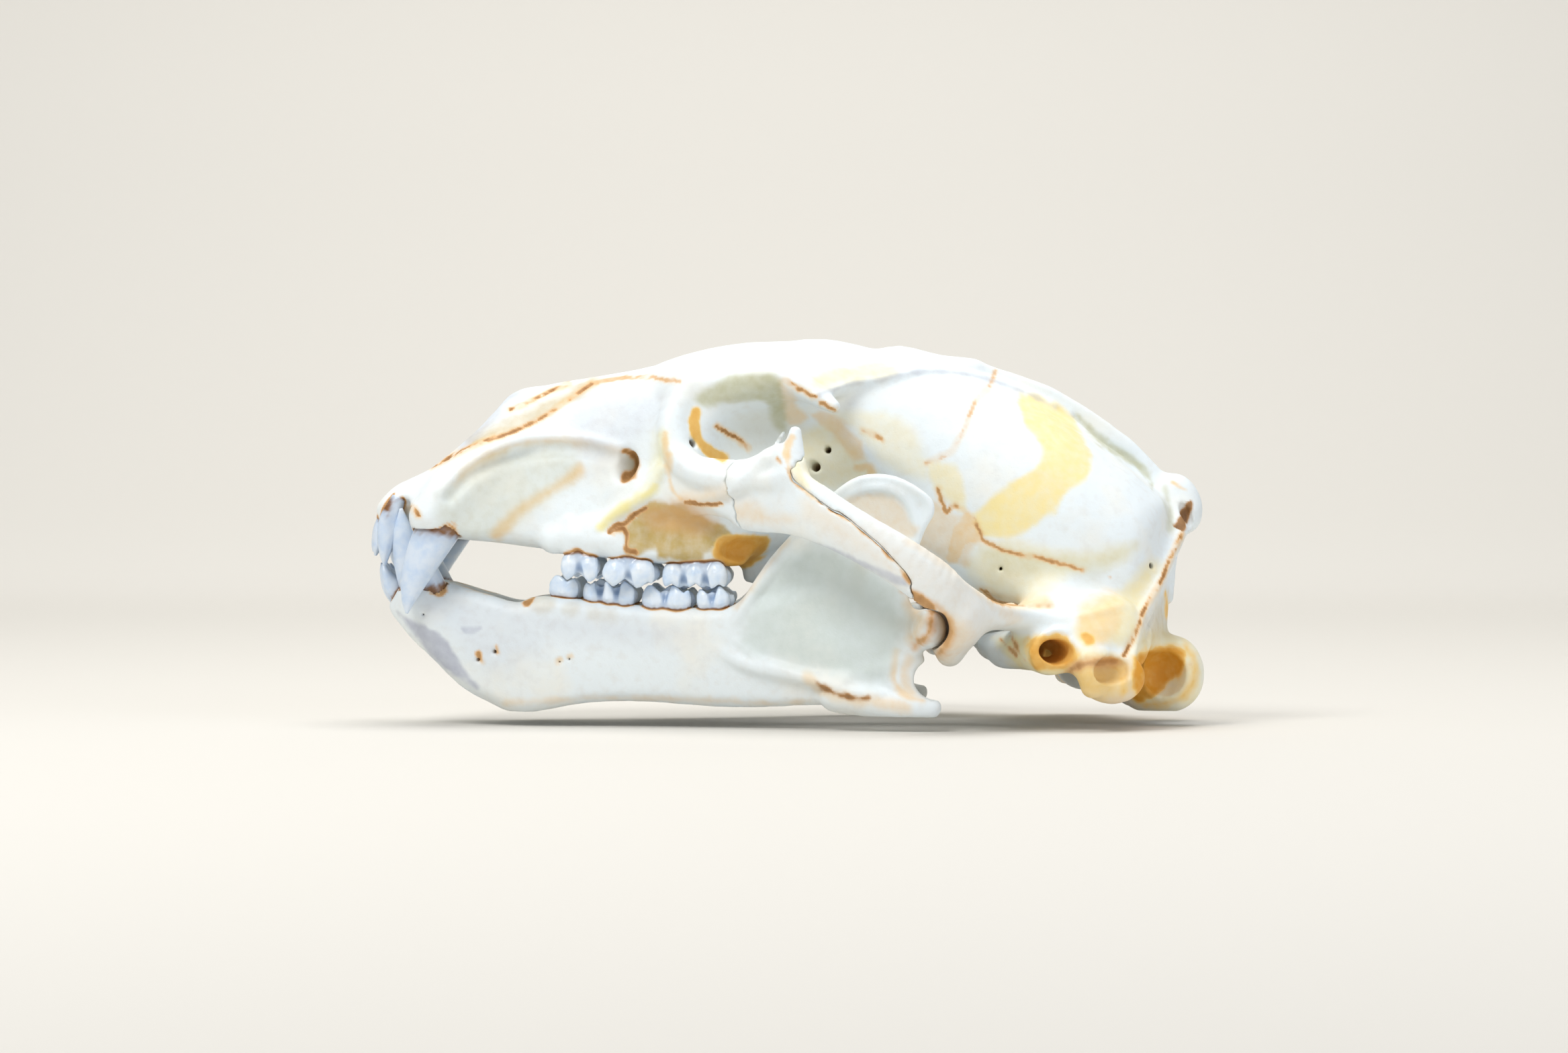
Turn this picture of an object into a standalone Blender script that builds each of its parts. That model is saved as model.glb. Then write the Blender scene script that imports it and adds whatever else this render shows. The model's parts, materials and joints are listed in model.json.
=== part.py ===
"""Polar bear skull with its lower jaw, life size, as a still model.

Metres in the scene, millimetres in the shapes. The snout points along -X, the left side faces -Y, up is +Z,
and the skull rests on its chin, its jaw angles and its occipital condyles at z = 0.
Each bone is a field of distances over one half of the skull (y >= 0), mirrored and turned into a mesh.
"""

import math

import bmesh
import bpy
import numpy as np
import openvdb
from mathutils import Matrix

STEP = 1.6  # lattice spacing of the fields
GAP = 0.3  # between two bones that touch
FAR = 60.0  # what the fields hold where nothing is near
CRANIUM_TRIANGLES = 6800
JAW_TRIANGLES = 3400
JUGAL_X = (-30, 40)  # where the middle of a jugal lies
JUGAL_Y = 60
SMOOTH_BELOW = math.radians(50)  # edges sharper than this stay sharp

BONE = (0.80, 0.74, 0.62), 0.6
ENAMEL = (0.79, 0.80, 0.79), 0.35


def smooth_path(points, steps=6, closed=False):
    """Catmull-Rom curve through points (rows), with `steps` pieces between neighbours."""
    pts = np.asarray(points, float)
    if closed:
        pts = np.vstack([pts[-1], pts, pts[0], pts[1]])
    else:
        pts = np.vstack([2 * pts[0] - pts[1], pts, 2 * pts[-1] - pts[-2]])
    t = np.linspace(0, 1, steps, endpoint=False)[:, None]
    rows = []
    for a, b, c, d in zip(pts[:-3], pts[1:-2], pts[2:-1], pts[3:]):
        rows.append(
            0.5 * (2 * b + (c - a) * t + (2 * a - 5 * b + 4 * c - d) * t**2 + (3 * b - a - 3 * c + d) * t**3)
        )
    if not closed:
        rows.append(pts[-2][None])
    return np.vstack(rows)


def profile(points, at):
    """Smooth value at `at` of the curve through (position, value) points, held flat past its ends."""
    curve = smooth_path(points, 8)
    return np.interp(at, curve[:, 0], curve[:, 1])


def smooth_min(a, b, k):
    if k <= 0:
        return np.minimum(a, b)
    h = np.maximum(k - np.abs(a - b), 0) / k
    return np.minimum(a, b) - h * h * k * 0.25


def turn(yaw=0, pitch=0, roll=0):
    """Rotation matrix: roll about X, then pitch about Y, then yaw about Z, in degrees."""
    y, p, r = (math.radians(v) for v in (yaw, pitch, roll))
    rz = np.array([[math.cos(y), -math.sin(y), 0], [math.sin(y), math.cos(y), 0], [0, 0, 1]])
    ry = np.array([[math.cos(p), 0, math.sin(p)], [0, 1, 0], [-math.sin(p), 0, math.cos(p)]])
    rx = np.array([[1, 0, 0], [0, math.cos(r), -math.sin(r)], [0, math.sin(r), math.cos(r)]])
    return rz @ ry @ rx


def oval_distance(u, v, w, ru, rv, rw):
    k0 = np.sqrt((u / ru) ** 2 + (v / rv) ** 2 + (w / rw) ** 2)
    k1 = np.sqrt((u / ru**2) ** 2 + (v / rv**2) ** 2 + (w / rw**2) ** 2)
    return k0 * (k0 - 1) / np.maximum(k1, 1e-6)


def ball(centre, radii, **angles):
    centre = np.array(centre, float)
    r = np.array(radii, float)
    m = turn(**angles)
    reach = np.sqrt(((m * r) ** 2).sum(1))

    def distance(x, y, z):
        x, y, z = x - centre[0], y - centre[1], z - centre[2]
        u, v, w = (m[0, i] * x + m[1, i] * y + m[2, i] * z for i in range(3))
        return oval_distance(u, v, w, *r)

    return distance, centre - reach, centre + reach


def strand(points, radii, up=(0, 0, 1), steps=4):
    """A tapering bar through points. Each radius is one number or (across, along up)."""
    path = smooth_path(points, steps)
    spread = smooth_path([r if np.ndim(r) else (r, r) for r in radii], steps)
    up = np.array(up, float)
    biggest = spread.max()

    def distance(x, y, z):
        best = None
        for a, b, ra, rb in zip(path[:-1], path[1:], spread[:-1], spread[1:]):
            length = np.linalg.norm(b - a)
            t = (b - a) / length
            side = np.cross(up, t)
            side /= max(np.linalg.norm(side), 1e-6)
            top = np.cross(t, side)
            px, py, pz = x - a[0], y - a[1], z - a[2]
            along = px * t[0] + py * t[1] + pz * t[2]
            share = np.clip(along / length, 0, 1)
            over = along - share * length
            across = px * side[0] + py * side[1] + pz * side[2]
            high = px * top[0] + py * top[1] + pz * top[2]
            r0 = ra[0] + (rb[0] - ra[0]) * share
            r1 = ra[1] + (rb[1] - ra[1]) * share
            d = oval_distance(across, high, over, r0, r1, np.minimum(r0, r1))
            best = d if best is None else np.minimum(best, d)
        return best

    return distance, path.min(0) - biggest, path.max(0) + biggest


def loft(stations):
    """A body along X. Each station is (x, top, widest level, bottom, half width, squareness over, under)."""
    s = np.array(stations, float)

    def distance(x, y, z):
        flat = x.ravel()
        t, m, b, w, over, under = (profile(s[:, [0, i]], flat)[:, None, None] for i in range(1, 7))
        n = np.where(z > m, over, under)
        high = np.where(z > m, t - m, m - b)
        a = (np.abs(y) / w) ** n
        c = (np.abs(z - m) / high) ** n
        f = np.maximum(a + c, 1e-9)
        value = f ** (1 / n)
        across, along = a / np.maximum(np.abs(y), 0.5), c / np.maximum(np.abs(z - m), 0.5)
        slope = value / f * np.hypot(across, along)
        d = (value - 1) / np.maximum(slope, 1 / (w + high))
        ends = np.maximum(s[0, 0] - x, x - s[-1, 0])
        return np.maximum(d, ends)

    biggest = s[:, 4].max()
    return distance, np.array([s[0, 0], 0, s[:, 3].min()]), np.array([s[-1, 0], biggest, s[:, 1].max()])


def outline_distance(outline, x, z):
    """Distance in the XZ plane to a closed outline, negative inside. x and z are 1-D."""
    px, pz = np.meshgrid(x, z, indexing="ij")
    best = np.full(px.shape, 1e9)
    inside = np.zeros(px.shape, bool)
    for (ax, az), (bx, bz) in zip(outline, np.roll(outline, -1, 0)):
        ex, ez = bx - ax, bz - az
        wx, wz = px - ax, pz - az
        share = np.clip((wx * ex + wz * ez) / max(ex * ex + ez * ez, 1e-9), 0, 1)
        best = np.minimum(best, (wx - ex * share) ** 2 + (wz - ez * share) ** 2)
        inside ^= ((az <= pz) != (bz <= pz)) & (px < ax + (pz - az) * ex / (ez or 1e-9))
    return np.sqrt(best) * np.where(inside, -1, 1)


def plate(outline, middle, half, rounding=2.0):
    """A plate with its outline in XZ. middle(x, z) is its y and half(x, z, depth) its half thickness."""
    outline = smooth_path(outline, 4, closed=True)

    def distance(x, y, z):
        flat = outline_distance(outline, x.ravel(), z.ravel())[:, None, :]
        centre = middle(x, z)
        h = half(x, z, np.maximum(-flat, 0))
        lean = np.gradient(np.broadcast_to(centre, flat.shape), STEP, axis=0)
        wall = (np.abs(y - centre) - h) / np.sqrt(1 + lean**2)
        r = np.minimum(rounding, h * 0.95)
        a, b = flat + r, wall + r
        return np.minimum(np.maximum(a, b), 0) + np.hypot(np.maximum(a, 0), np.maximum(b, 0)) - r

    low = np.array([outline[:, 0].min(), 0, outline[:, 1].min()])
    high = np.array([outline[:, 0].max(), 110, outline[:, 1].max()])
    return distance, low, high


class Field:
    """Distances to a surface, negative inside, on a lattice over one half of the skull."""

    def __init__(self, low, high, step):
        self.step = step
        self.axes = [lo + step * np.arange(int((hi - lo) / step) + 2) for lo, hi in zip(low, high)]
        self.d = np.full([len(a) for a in self.axes], FAR)

    def merge(self, shape, blend, sign):
        distance, low, high = shape
        cut = tuple(
            slice(*np.searchsorted(a, (lo - blend - 4, hi + blend + 4)))
            for a, lo, hi in zip(self.axes, low, high)
        )
        at = np.ix_(*(a[c] for a, c in zip(self.axes, cut)))
        self.d[cut] = sign * smooth_min(sign * self.d[cut], distance(*at), blend)

    def add(self, shape, blend=2.0):
        self.merge(shape, blend, 1)

    def cut(self, shape, blend=2.0):
        self.merge(shape, blend, -1)

    def mesh(self, name):
        """Both halves of the surface as one mesh object."""
        reach = 3 * self.step
        d = np.clip(self.d, -reach, reach)
        d = np.concatenate([d[:, :0:-1], d], axis=1)
        grid = openvdb.FloatGrid(reach)
        grid.copyFromArray(np.ascontiguousarray(d, dtype=np.float32))
        points, quads = grid.convertToQuads(0.0)[:2]
        low = np.array([self.axes[0][0], -self.axes[1][-1], self.axes[2][0]])
        return mesh_object(name, (points * self.step + low) / 1000, quads)


def place(name, data):
    """An object with this mesh, among the bodies that are still to be joined or cut."""
    obj = bpy.data.objects.new(name, data)
    bpy.data.collections["cutters"].objects.link(obj)
    return obj


def mesh_object(name, points, faces):
    data = bpy.data.meshes.new(name)
    data.from_pydata(np.asarray(points).tolist(), [], [[int(i) for i in face] for face in faces])
    data.update()
    return place(name, data)


# Stations of the face and of the braincase: x, top, widest level, bottom, half width, squareness above
# the widest level and squareness below it.
FACE = [
    (-168.5, 86, 82, 77, 13, 2.4, 3),
    (-164, 91, 80, 75, 22, 2.4, 3),
    (-156, 97, 79, 73, 25, 2.3, 3.5),
    (-148, 102, 78, 71.5, 30, 2.2, 4),
    (-140, 108, 78, 71, 36, 2.2, 4),
    (-128, 119, 78, 70.2, 38, 2.2, 4),
    (-112, 132, 78, 68.4, 35, 2.3, 4),
    (-98, 135, 78, 66.2, 34, 2.3, 4),
    (-75, 139, 80, 63, 38, 2.4, 4),
    (-60, 141.5, 84, 62, 43, 2.5, 4),
    (-40, 146, 86, 60.5, 46, 2.8, 4),
    (-22, 150.5, 88, 60, 45, 3, 4),
    (-8, 152, 94, 62, 40, 3, 3),
    (10, 152, 104, 68, 33, 2.6, 2.5),
    (30, 146, 110, 74, 24, 2.2, 2.2),
    (46, 134, 112, 84, 12, 2.2, 2.2),
]
BRAINCASE = [
    (-8, 130, 108, 74, 18, 2.2, 2.4),
    (10, 148, 112, 62, 30, 2.3, 2.4),
    (33, 149.5, 106, 53, 33, 2.2, 2.6),
    (60, 144, 92, 44, 38, 2.1, 2.6),
    (80, 138, 80, 37, 45, 2.1, 2.6),
    (100, 129, 72, 30, 50, 2.1, 2.6),
    (120, 118, 66, 24, 51, 2.1, 2.6),
    (140, 104, 60, 18, 48, 2.1, 2.6),
    (156, 90, 54, 14, 40, 2.1, 2.6),
    (168, 78, 50, 12, 30, 2.1, 2.6),
]
CREST = [
    (40, 120), (44, 148.6), (66, 146.5), (85, 142.8), (100, 138.4), (115, 132.2), (131, 122.4),
    (147.6, 109.6), (159, 97.5), (170, 88), (168, 76), (150, 70), (100, 90),
]
OCCIPUT_X = 160.0
OCCIPUT_CURVE = 0.0074

# Canines: the path of each axis from root to tip, with (across, along) radii.
UPPER_CANINE = [(-119, 26, 101), (-129, 29.5, 91), (-140.8, 32.5, 75.6), (-149.6, 33.5, 58),
                (-153, 34.2, 47), (-153.9, 34.6, 40.5)]
UPPER_CANINE_R = [(3.5, 4.5), (5.8, 7.4), (7, 8.9), (5.5, 6.5), (2.9, 3.3), (0.5, 0.6)]
LOWER_CANINE = [(-128.5, 16, 23.5), (-139.6, 17.5, 35.9), (-147.8, 19, 49.2), (-153, 19.8, 62),
                (-156.2, 21.8, 73), (-157.3, 23.5, 83.4)]
LOWER_CANINE_R = [(4.5, 5.5), (6.5, 8.5), (7.2, 9.2), (6.2, 7.9), (3.9, 4.7), (0.5, 0.6)]


def cranium_field(step):
    f = Field((-174, 0, -4), (180, 112, 160), step)
    f.add(loft(FACE), 0)
    f.add(loft(BRAINCASE), 14)
    # Canine root bulge, and the thin bone of the upper jaw over the cheek tooth roots.
    f.add(strand([(-144, 33, 80), (-136, 32, 90), (-122, 29, 104), (-110, 26, 112)],
                 [(9, 9), (9, 9), (7, 7), (4, 4)]), 8)
    # Hollows of the cheek, the orbit and under the root of the arch.
    f.cut(ball((-94, 50, 100), (30, 15, 17), pitch=18), 10)
    f.cut(ball((-2, 60, 111), (34, 33, 24)), 8)
    f.cut(ball((-24, 63, 70), (34, 20, 16)), 6)
    f.cut(ball((20, 48, 84), (34, 24, 24)), 8)
    # Gum ridge over the cheek teeth.
    f.add(strand([(-94, 32, 70), (-82, 34.5, 71), (-62, 37.5, 69), (-36, 38.5, 67), (-19, 37, 66)],
                 [(5, 5), (6.5, 6.5), (8, 7), (8, 7), (6, 6)]), 5)
    # Roof over the orbits.
    f.add(ball((-10, 20, 137.5), (40, 26, 9.5), roll=-14), 8)
    # Brow, postorbital process and temporal line of the frontal bone.
    f.add(strand([(-44, 30, 132), (-24, 38, 134), (-6, 43, 136.5), (4, 45, 134), (13, 49, 129),
                  (20, 54, 124.5)],
                 [(6, 6), (6, 5.5), (7, 5), (7, 5), (5.5, 4.5), (3, 2.6)]), 6)
    f.add(strand([(16, 45, 129), (28, 29, 134), (48, 18.5, 138.6), (64, 9, 141), (78, 3, 141)],
                 [(3, 2.5), (2.5, 2), (2.2, 2), (2, 2), (2, 2)]), 5)
    # Occiput: back wall, sagittal crest, knob and nuchal crest.
    x, y, _ = np.ix_(*f.axes)
    wall = (x - OCCIPUT_X + OCCIPUT_CURVE * y * y) / np.sqrt(1 + (2 * OCCIPUT_CURVE * y) ** 2)
    f.d = -smooth_min(-f.d, -wall, 4)
    f.add(plate(CREST, lambda x, z: 0 * x * z, lambda x, z, depth: 2.0 + 0.16 * depth, 1.8), 10)
    f.add(ball((165.5, 0, 86), (8, 7, 12), pitch=-18), 6)
    f.add(strand([(166, 4, 80), (158, 22, 65), (148, 41, 47), (143, 51, 33), (139, 58, 24)],
                 [(4, 4), (3, 4), (3, 4.5), (3, 5), (3, 5)], up=(1, 0, 0)), 7)
    # Rim of the orbit and the zygomatic arch with its frontal process.
    f.add(strand([(-40, 34, 131), (-45, 41, 118), (-43, 46, 105), (-32, 55, 97), (-16, 66, 97),
                  (-2, 77, 104)],
                 [(5, 6), (5, 6), (5, 6), (5, 5), (4.5, 5), (4, 5)]), 7)
    f.add(strand([(-66, 34, 88), (-46, 44, 90), (-29, 55, 91), (-12, 69, 87), (4, 82, 85), (18, 91, 78.3),
                  (31, 97, 71), (47, 100, 61.6), (59, 97, 53), (68, 89, 46), (79, 75, 41), (90, 62, 39.5),
                  (104, 54, 40)],
                 [(6, 10), (6, 11), (5, 12), (4.5, 13), (4.5, 12.5), (4.3, 10.5), (4.5, 9.5), (5, 9.5),
                  (6, 10), (7, 9), (9, 6), (9, 5), (8, 5)]), 5)
    f.add(strand([(3, 82, 96), (4.5, 79, 113.5)], [(4, 6.5), (2.4, 2.6)], up=(1, 0, 0)), 5)
    # Block over the jaw joint with its hooked hind wall.
    f.add(ball((67, 68, 38), (12, 28, 13), yaw=-6), 6)
    f.add(strand([(66, 52, 30), (66, 70, 27), (64, 88, 31)], [(6, 7), (6, 7), (4, 5)], up=(0, 0, 1)), 4)
    # Shelf over the ear, ear drum bulge and tube, mastoid and paroccipital processes, condyles.
    f.add(strand([(92, 60, 40), (106, 62, 38), (120, 64, 34), (132, 62, 28)],
                 [(7, 4), (6, 4), (6, 4), (5, 4)]), 5)
    f.add(ball((97, 33, 25), (19, 14, 7), yaw=24, pitch=12), 7)
    f.add(strand([(90, 40, 26), (98, 54, 27), (106, 66, 25.5)], [(7, 7), (8, 8), (9, 9)]), 5)
    f.add(strand([(110, 46, 44), (119, 62, 30), (123, 72, 20), (123, 73, 12)],
                 [(12, 14), (10, 11), (8, 8), (4.5, 5)], up=(1, 0, 0)), 7)
    f.add(ball((129, 54, 32), (16, 13, 17)), 8)
    f.add(strand([(141, 36, 34), (139, 44, 22), (137, 49, 11)], [(9, 9), (6, 6), (3.5, 3.5)],
                 up=(1, 0, 0)), 7)
    f.add(ball((160, 21, 15.5), (13, 12, 15.5), yaw=-20), 6)
    f.add(ball((150, 17, 9.5), (12, 10, 10)), 6)
    # Pterygoid plates beside the hind opening of the nose.
    f.add(strand([(-14, 18, 62), (12, 17, 58), (34, 15, 48), (44, 15, 42)],
                 [(3, 9), (2.5, 11), (2.5, 11), (2, 7)]), 4)
    return carve_cranium(f)


def carve_cranium(f):
    # Nasal cavity, open in front, with its septum and scrolls of thin bone.
    f.cut(strand([(-180, 0, 109), (-152, 0, 109), (-120, 0, 110), (-96, 0, 108)],
                 [(17, 14), (18, 16), (17, 19), (9, 12)]), 3)
    f.add(strand([(-116, 0, 104), (-90, 0, 104)], [(1.6, 22), (1.6, 22)]), 2)
    for y, z in ((8, 98), (8, 108), (8, 118), (15, 104)):
        f.add(strand([(-114, y, z), (-88, y, z)], [(4.5, 2.2), (4.5, 2.2)]), 2)
    # Notch for the lower canine, infraorbital foramen and palate.
    f.cut(strand(LOWER_CANINE[2:], [(8, 9), (8, 9), (7, 7.5), (4.5, 5)]), 2)
    f.cut(strand([(-80, 52, 99), (-68, 42, 101), (-54, 30, 100)], [(4, 7), (4, 6.5), (3, 5)]), 3)
    f.cut(ball((-86, 0, 53), (84, 25, 17)), 4)
    f.cut(strand([(76, 0, 34), (44, 0, 52), (14, 0, 66), (-4, 0, 74)],
                 [(11, 8), (11, 9), (11, 8), (6, 4)]), 3)
    # Jaw joint, foramen magnum, ear hole and the hollow beside the condyle.
    f.cut(strand([(56.5, 44, 37), (57.5, 68, 35.5), (57, 96, 36)], [(7, 8), (8, 8.6), (7.5, 8)],
                 up=(0, 0, 1)), 1)
    f.cut(strand([(178, 0, 30), (160, 0, 31), (132, 0, 36)], [(13, 12), (13, 12), (9, 9)]), 3)
    f.cut(strand([(110, 82, 26), (107, 66, 26), (98, 48, 26)], [(6, 5), (5.5, 4.5), (3, 3)]), 2)
    f.cut(ball((155.5, 36, 15.5), (10, 13, 10.5), yaw=-12), 2)
    # The shell-shaped hollow behind the mastoid, and the hollow under the arch's front root.
    f.add(ball((131, 67, 16), (13, 7, 11)), 3)
    f.cut(ball((131, 76, 18.5), (9, 7.5, 5.5), roll=-10), 2)
    f.cut(ball((-46, 56.5, 73), (27, 12, 11.5), yaw=14), 3)
    return f


JAW_BODY = [
    (-163, 44), (-157, 34), (-147, 24), (-134, 11), (-122, 4), (-108, -0.6), (-80, 4), (-55, 4.5),
    (-20, 2.5), (10, 4), (30, 4), (44, -0.4), (56, -0.4), (60, 4), (50, 12), (44, 18), (48, 30), (20, 50),
    (-10, 46), (-28, 43), (-60, 44), (-98, 47.5), (-110, 45), (-125, 49), (-140, 53), (-152, 51),
]
RAMUS = [
    (-24, 30), (-19, 42), (-8, 60), (4, 74), (18, 88), (30, 96), (44, 96), (57, 89), (60, 82), (56, 74),
    (52, 64), (49, 54), (51, 44), (58, 36), (50, 22), (20, 14), (-10, 14),
]
JAW_LINE = [(-170, 9), (-150, 13), (-125, 17), (-100, 26), (-60, 34), (-20, 44), (15, 57), (45, 67), (70, 72)]
JAW_THICK = [(-170, 8), (-150, 11), (-130, 11), (-105, 9), (-80, 7.5), (-30, 7), (0, 6), (30, 4.5), (60, 3.5)]


def jaw_middle(x, z):
    return profile(JAW_LINE, x) + 0.05 * (z - 40)


def jaw_half(x, z, depth):
    return profile(JAW_THICK, x) * (0.82 + 0.18 * np.cos((z - 25) / 14))


def jaw_field(step):
    f = Field((-174, 0, -4), (72, 100, 102), step)
    f.add(plate(JAW_BODY, jaw_middle, jaw_half, 5.5), 0)
    f.add(plate(RAMUS, jaw_middle, lambda x, z, d: 2.4 + 2.6 * np.exp(-((d / 5) ** 2)), 2.4), 5)
    # Canine bulge, symphysis, joint roller and angular process.
    f.add(strand([(-150, 19, 46), (-142, 19, 36), (-128, 17, 24)], [(9.5, 9.5), (9.5, 9.5), (7, 7)]), 6)
    f.add(ball((-133.5, 4, 32.5), (24, 14, 13.5), pitch=35), 8)
    f.add(strand([(57, 52, 38), (57.5, 66, 35.5), (57.5, 80, 35.5), (57.5, 86, 36)],
                 [(4, 5), (7, 7.5), (6.6, 7.2), (3.5, 4.5)]), 4)
    f.add(strand([(24, 63, 8), (44, 70, 4), (58, 73, 3)], [(5, 5), (4, 4.4), (2.6, 3.2)]), 8)
    # Notch under the joint over the hooked tip of the angular process, and the chewing muscle's hollow.
    f.add(ball((49, 69, 17), (9, 3.4, 10)), 3)
    f.add(strand([(20, 60.5, 7), (36, 66.5, 5), (50, 70.5, 4), (60, 73, 4.6)],
                 [(5, 5), (4.4, 4.6), (3.6, 4), (1.8, 2.2)]), 3)
    f.cut(strand([(60.5, 40, 15.2), (60.5, 100, 15.2)], [(8.8, 8), (8.8, 8)], up=(0, 0, 1)), 1.5)
    f.cut(ball((22, 74, 44), (33, 11.5, 25), yaw=18), 3)
    return f


def bone(field, name, triangles):
    """The field as a mesh of about so many triangles, thinned on one half and mirrored."""
    obj = field.mesh(name)
    bm = bmesh.new()
    bm.from_mesh(obj.data)
    bmesh.ops.bisect_plane(bm, geom=[*bm.verts, *bm.edges, *bm.faces], plane_co=(0, 0, 0),
                           plane_no=(0, 1, 0), dist=1e-6, clear_inner=True)
    bmesh.ops.triangulate(bm, faces=bm.faces)
    bm.to_mesh(obj.data)
    bm.free()
    thin = obj.modifiers.new("thin", "DECIMATE")
    thin.ratio = triangles / (2 * len(obj.data.polygons))
    apply(obj)
    bm = bmesh.new()
    bm.from_mesh(obj.data)
    for vert in bm.verts:
        if vert.is_boundary:
            vert.co.y = 0
    bm.to_mesh(obj.data)
    bm.free()
    both = obj.modifiers.new("both sides", "MIRROR")
    both.use_axis = (False, True, False)
    both.merge_threshold = 1e-5
    apply(obj)
    return obj


def apply(obj):
    data = bpy.data.meshes.new_from_object(obj.evaluated_get(bpy.context.evaluated_depsgraph_get()))
    obj.modifiers.clear()
    obj.data = data
    data.name = obj.name


def combine(obj, others, operation):
    """One Boolean after another; the other bodies are used up."""
    for other in others:
        step = obj.modifiers.new("step", "BOOLEAN")
        step.operation = operation
        step.solver = "EXACT"
        step.object = other
    apply(obj)
    for other in others:
        bpy.data.objects.remove(other)


def skin(name, rings):
    """A closed body over rings of points, each ring closed and all of one length."""
    n = len(rings[0])
    points = [tuple(p) for ring in rings for p in ring]
    first, last = len(points), len(points) + 1
    points += [tuple(np.mean(rings[0], axis=0)), tuple(np.mean(rings[-1], axis=0))]
    faces = []
    for i in range(n):
        j = (i + 1) % n
        faces.append((first, j, i))
        faces.append((last, (len(rings) - 1) * n + i, (len(rings) - 1) * n + j))
        for r in range(len(rings) - 1):
            a, b = r * n, (r + 1) * n
            faces.append((a + i, a + j, b + j, b + i))
    obj = mesh_object(name, np.array(points) / 1000, faces)
    bm = bmesh.new()
    bm.from_mesh(obj.data)
    bmesh.ops.triangulate(bm, faces=bm.faces)
    if bm.calc_volume(signed=True) < 0:
        bmesh.ops.reverse_faces(bm, faces=bm.faces)
    bm.to_mesh(obj.data)
    bm.free()
    return obj


def mirrored(p, side):
    return (p[0], p[1] * side, p[2])


def spike(name, points, radii, side, grow=0.0, sides=10, steps=2):
    """A pointed body along a path given for y > 0; side is -1 for the left of the skull."""
    path = smooth_path([mirrored(p, side) for p in points], steps)
    for end, inner in ((0, 1), (-1, -2)):
        way = path[end] - path[inner]
        path[end] += way * grow / np.linalg.norm(way)
    spread = smooth_path(radii, steps) + grow
    ways = np.gradient(path, axis=0)
    rings = []
    for p, way, (a, b) in zip(path, ways, spread):
        way /= np.linalg.norm(way)
        across = np.cross(way, (1, 0, 0))
        across /= np.linalg.norm(across)
        front = np.cross(across, way)
        turns = [2 * math.pi * (k + 0.5) / sides for k in range(sides)]
        rings.append([p + across * a * math.cos(t) + front * b * math.sin(t) for t in turns])
    return skin(name, rings)


# Cheek teeth: x centre, y centre, length, width, number of cusps along the outer side.
UPPER_CHEEK = [(-82.8, 35, 17.2, 11.5, 2), (-62.5, 37.8, 23.2, 15, 2), (-35.6, 38.6, 30.4, 15.5, 3)]
LOWER_CHEEK = [(-89.7, 27, 13.6, 8, 1), (-70.9, 31, 23.8, 10, 3), (-47.3, 35.5, 23, 12.5, 2),
               (-28.2, 40, 15, 11.5, 2)]
UPPER_GUM = [(-95, 64.5), (-82, 63.5), (-62, 61), (-36, 59.5), (-18, 60)]
LOWER_GUM = [(-98, 47.5), (-88, 46), (-70, 44), (-48, 41.5), (-28, 42.5), (-18, 44)]
BITE = [(-100, 56), (-84, 55), (-72, 53.4), (-58, 51.8), (-40, 51), (-18, 50.4)]
CROWN = ((-0.8, 0.6), (-0.15, 0.9), (0.4, 1.0), (0.8, 0.94), (1.0, 0.72), (0.72, 0.25))  # height, breadth


def cheek_tooth(x, y, length, width, cusps, side, gum, up, yaw):
    """A low crown with blunt cusps round a shallow basin, on a root that narrows into the jaw."""
    spin = turn(yaw=yaw * side)
    rings = []
    for share, size in CROWN:
        ring = []
        for k in range(12):
            c, s = math.cos(math.pi * k / 6), math.sin(math.pi * k / 6)
            dip = 1 - abs(math.cos(cusps * math.acos(max(-1, min(1, c)))))
            u = 0.5 * length * size * math.copysign(abs(c) ** 0.75, c)
            v = 0.5 * width * size * math.copysign(abs(s) ** 0.75, s) * (1 - 0.1 * dip * (share > 0))
            px, py, _ = spin @ (u, v, 0) + (x, side * y, 0)
            low = profile(gum, px)
            tall = profile(BITE, px) - up * 0.7 * GAP - low
            ring.append((px, py, low + tall * (share - 0.22 * dip * (share == 1.0))))
        rings.append(ring)
    return skin("tooth", rings)


def cheek_teeth(rows, side, gum, up):
    slopes = np.gradient([r[1] for r in rows], [r[0] for r in rows])
    yaws = np.degrees(np.arctan(slopes))
    return [cheek_tooth(*row, side, gum, up, yaw) for row, yaw in zip(rows, yaws)]


# Incisors: base and tip of the crown axis, half widths across and front to back at the gum.
UPPER_INCISORS = [((-164, 4.6, 80), (-170.6, 4.4, 65.5), 3.6, 3.8),
                  ((-163.4, 12.2, 80), (-169, 12.4, 64), 3.7, 4),
                  ((-162, 19.6, 80), (-164.4, 20.4, 59.6), 3.8, 4.2)]
LOWER_INCISORS = [((-161.5, 3.3, 47), (-167.4, 3, 61), 2.5, 3.4),
                  ((-160.5, 8.9, 47.5), (-166.8, 8.6, 61), 2.7, 3.6),
                  ((-159.5, 14, 48), (-165.6, 14, 60.5), 2.4, 3.4)]


def incisors(rows, side):
    teeth = []
    for base, tip, a, b in rows:
        base, tip = np.array(base), np.array(tip)
        way = tip - base
        path = [base - way * 0.4 + (2.5, 0, 0), base, base + way * 0.35 - (0.6, 0, 0),
                base + way * 0.75 - (0.5, 0, 0), tip]
        radii = [(a * 0.7, b * 0.7), (a, b), (a * 1.12, b), (a, b * 0.55), (a * 0.35, 0.5)]
        teeth.append(spike("tooth", path, radii, side, sides=8, steps=1))
    return teeth


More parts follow.
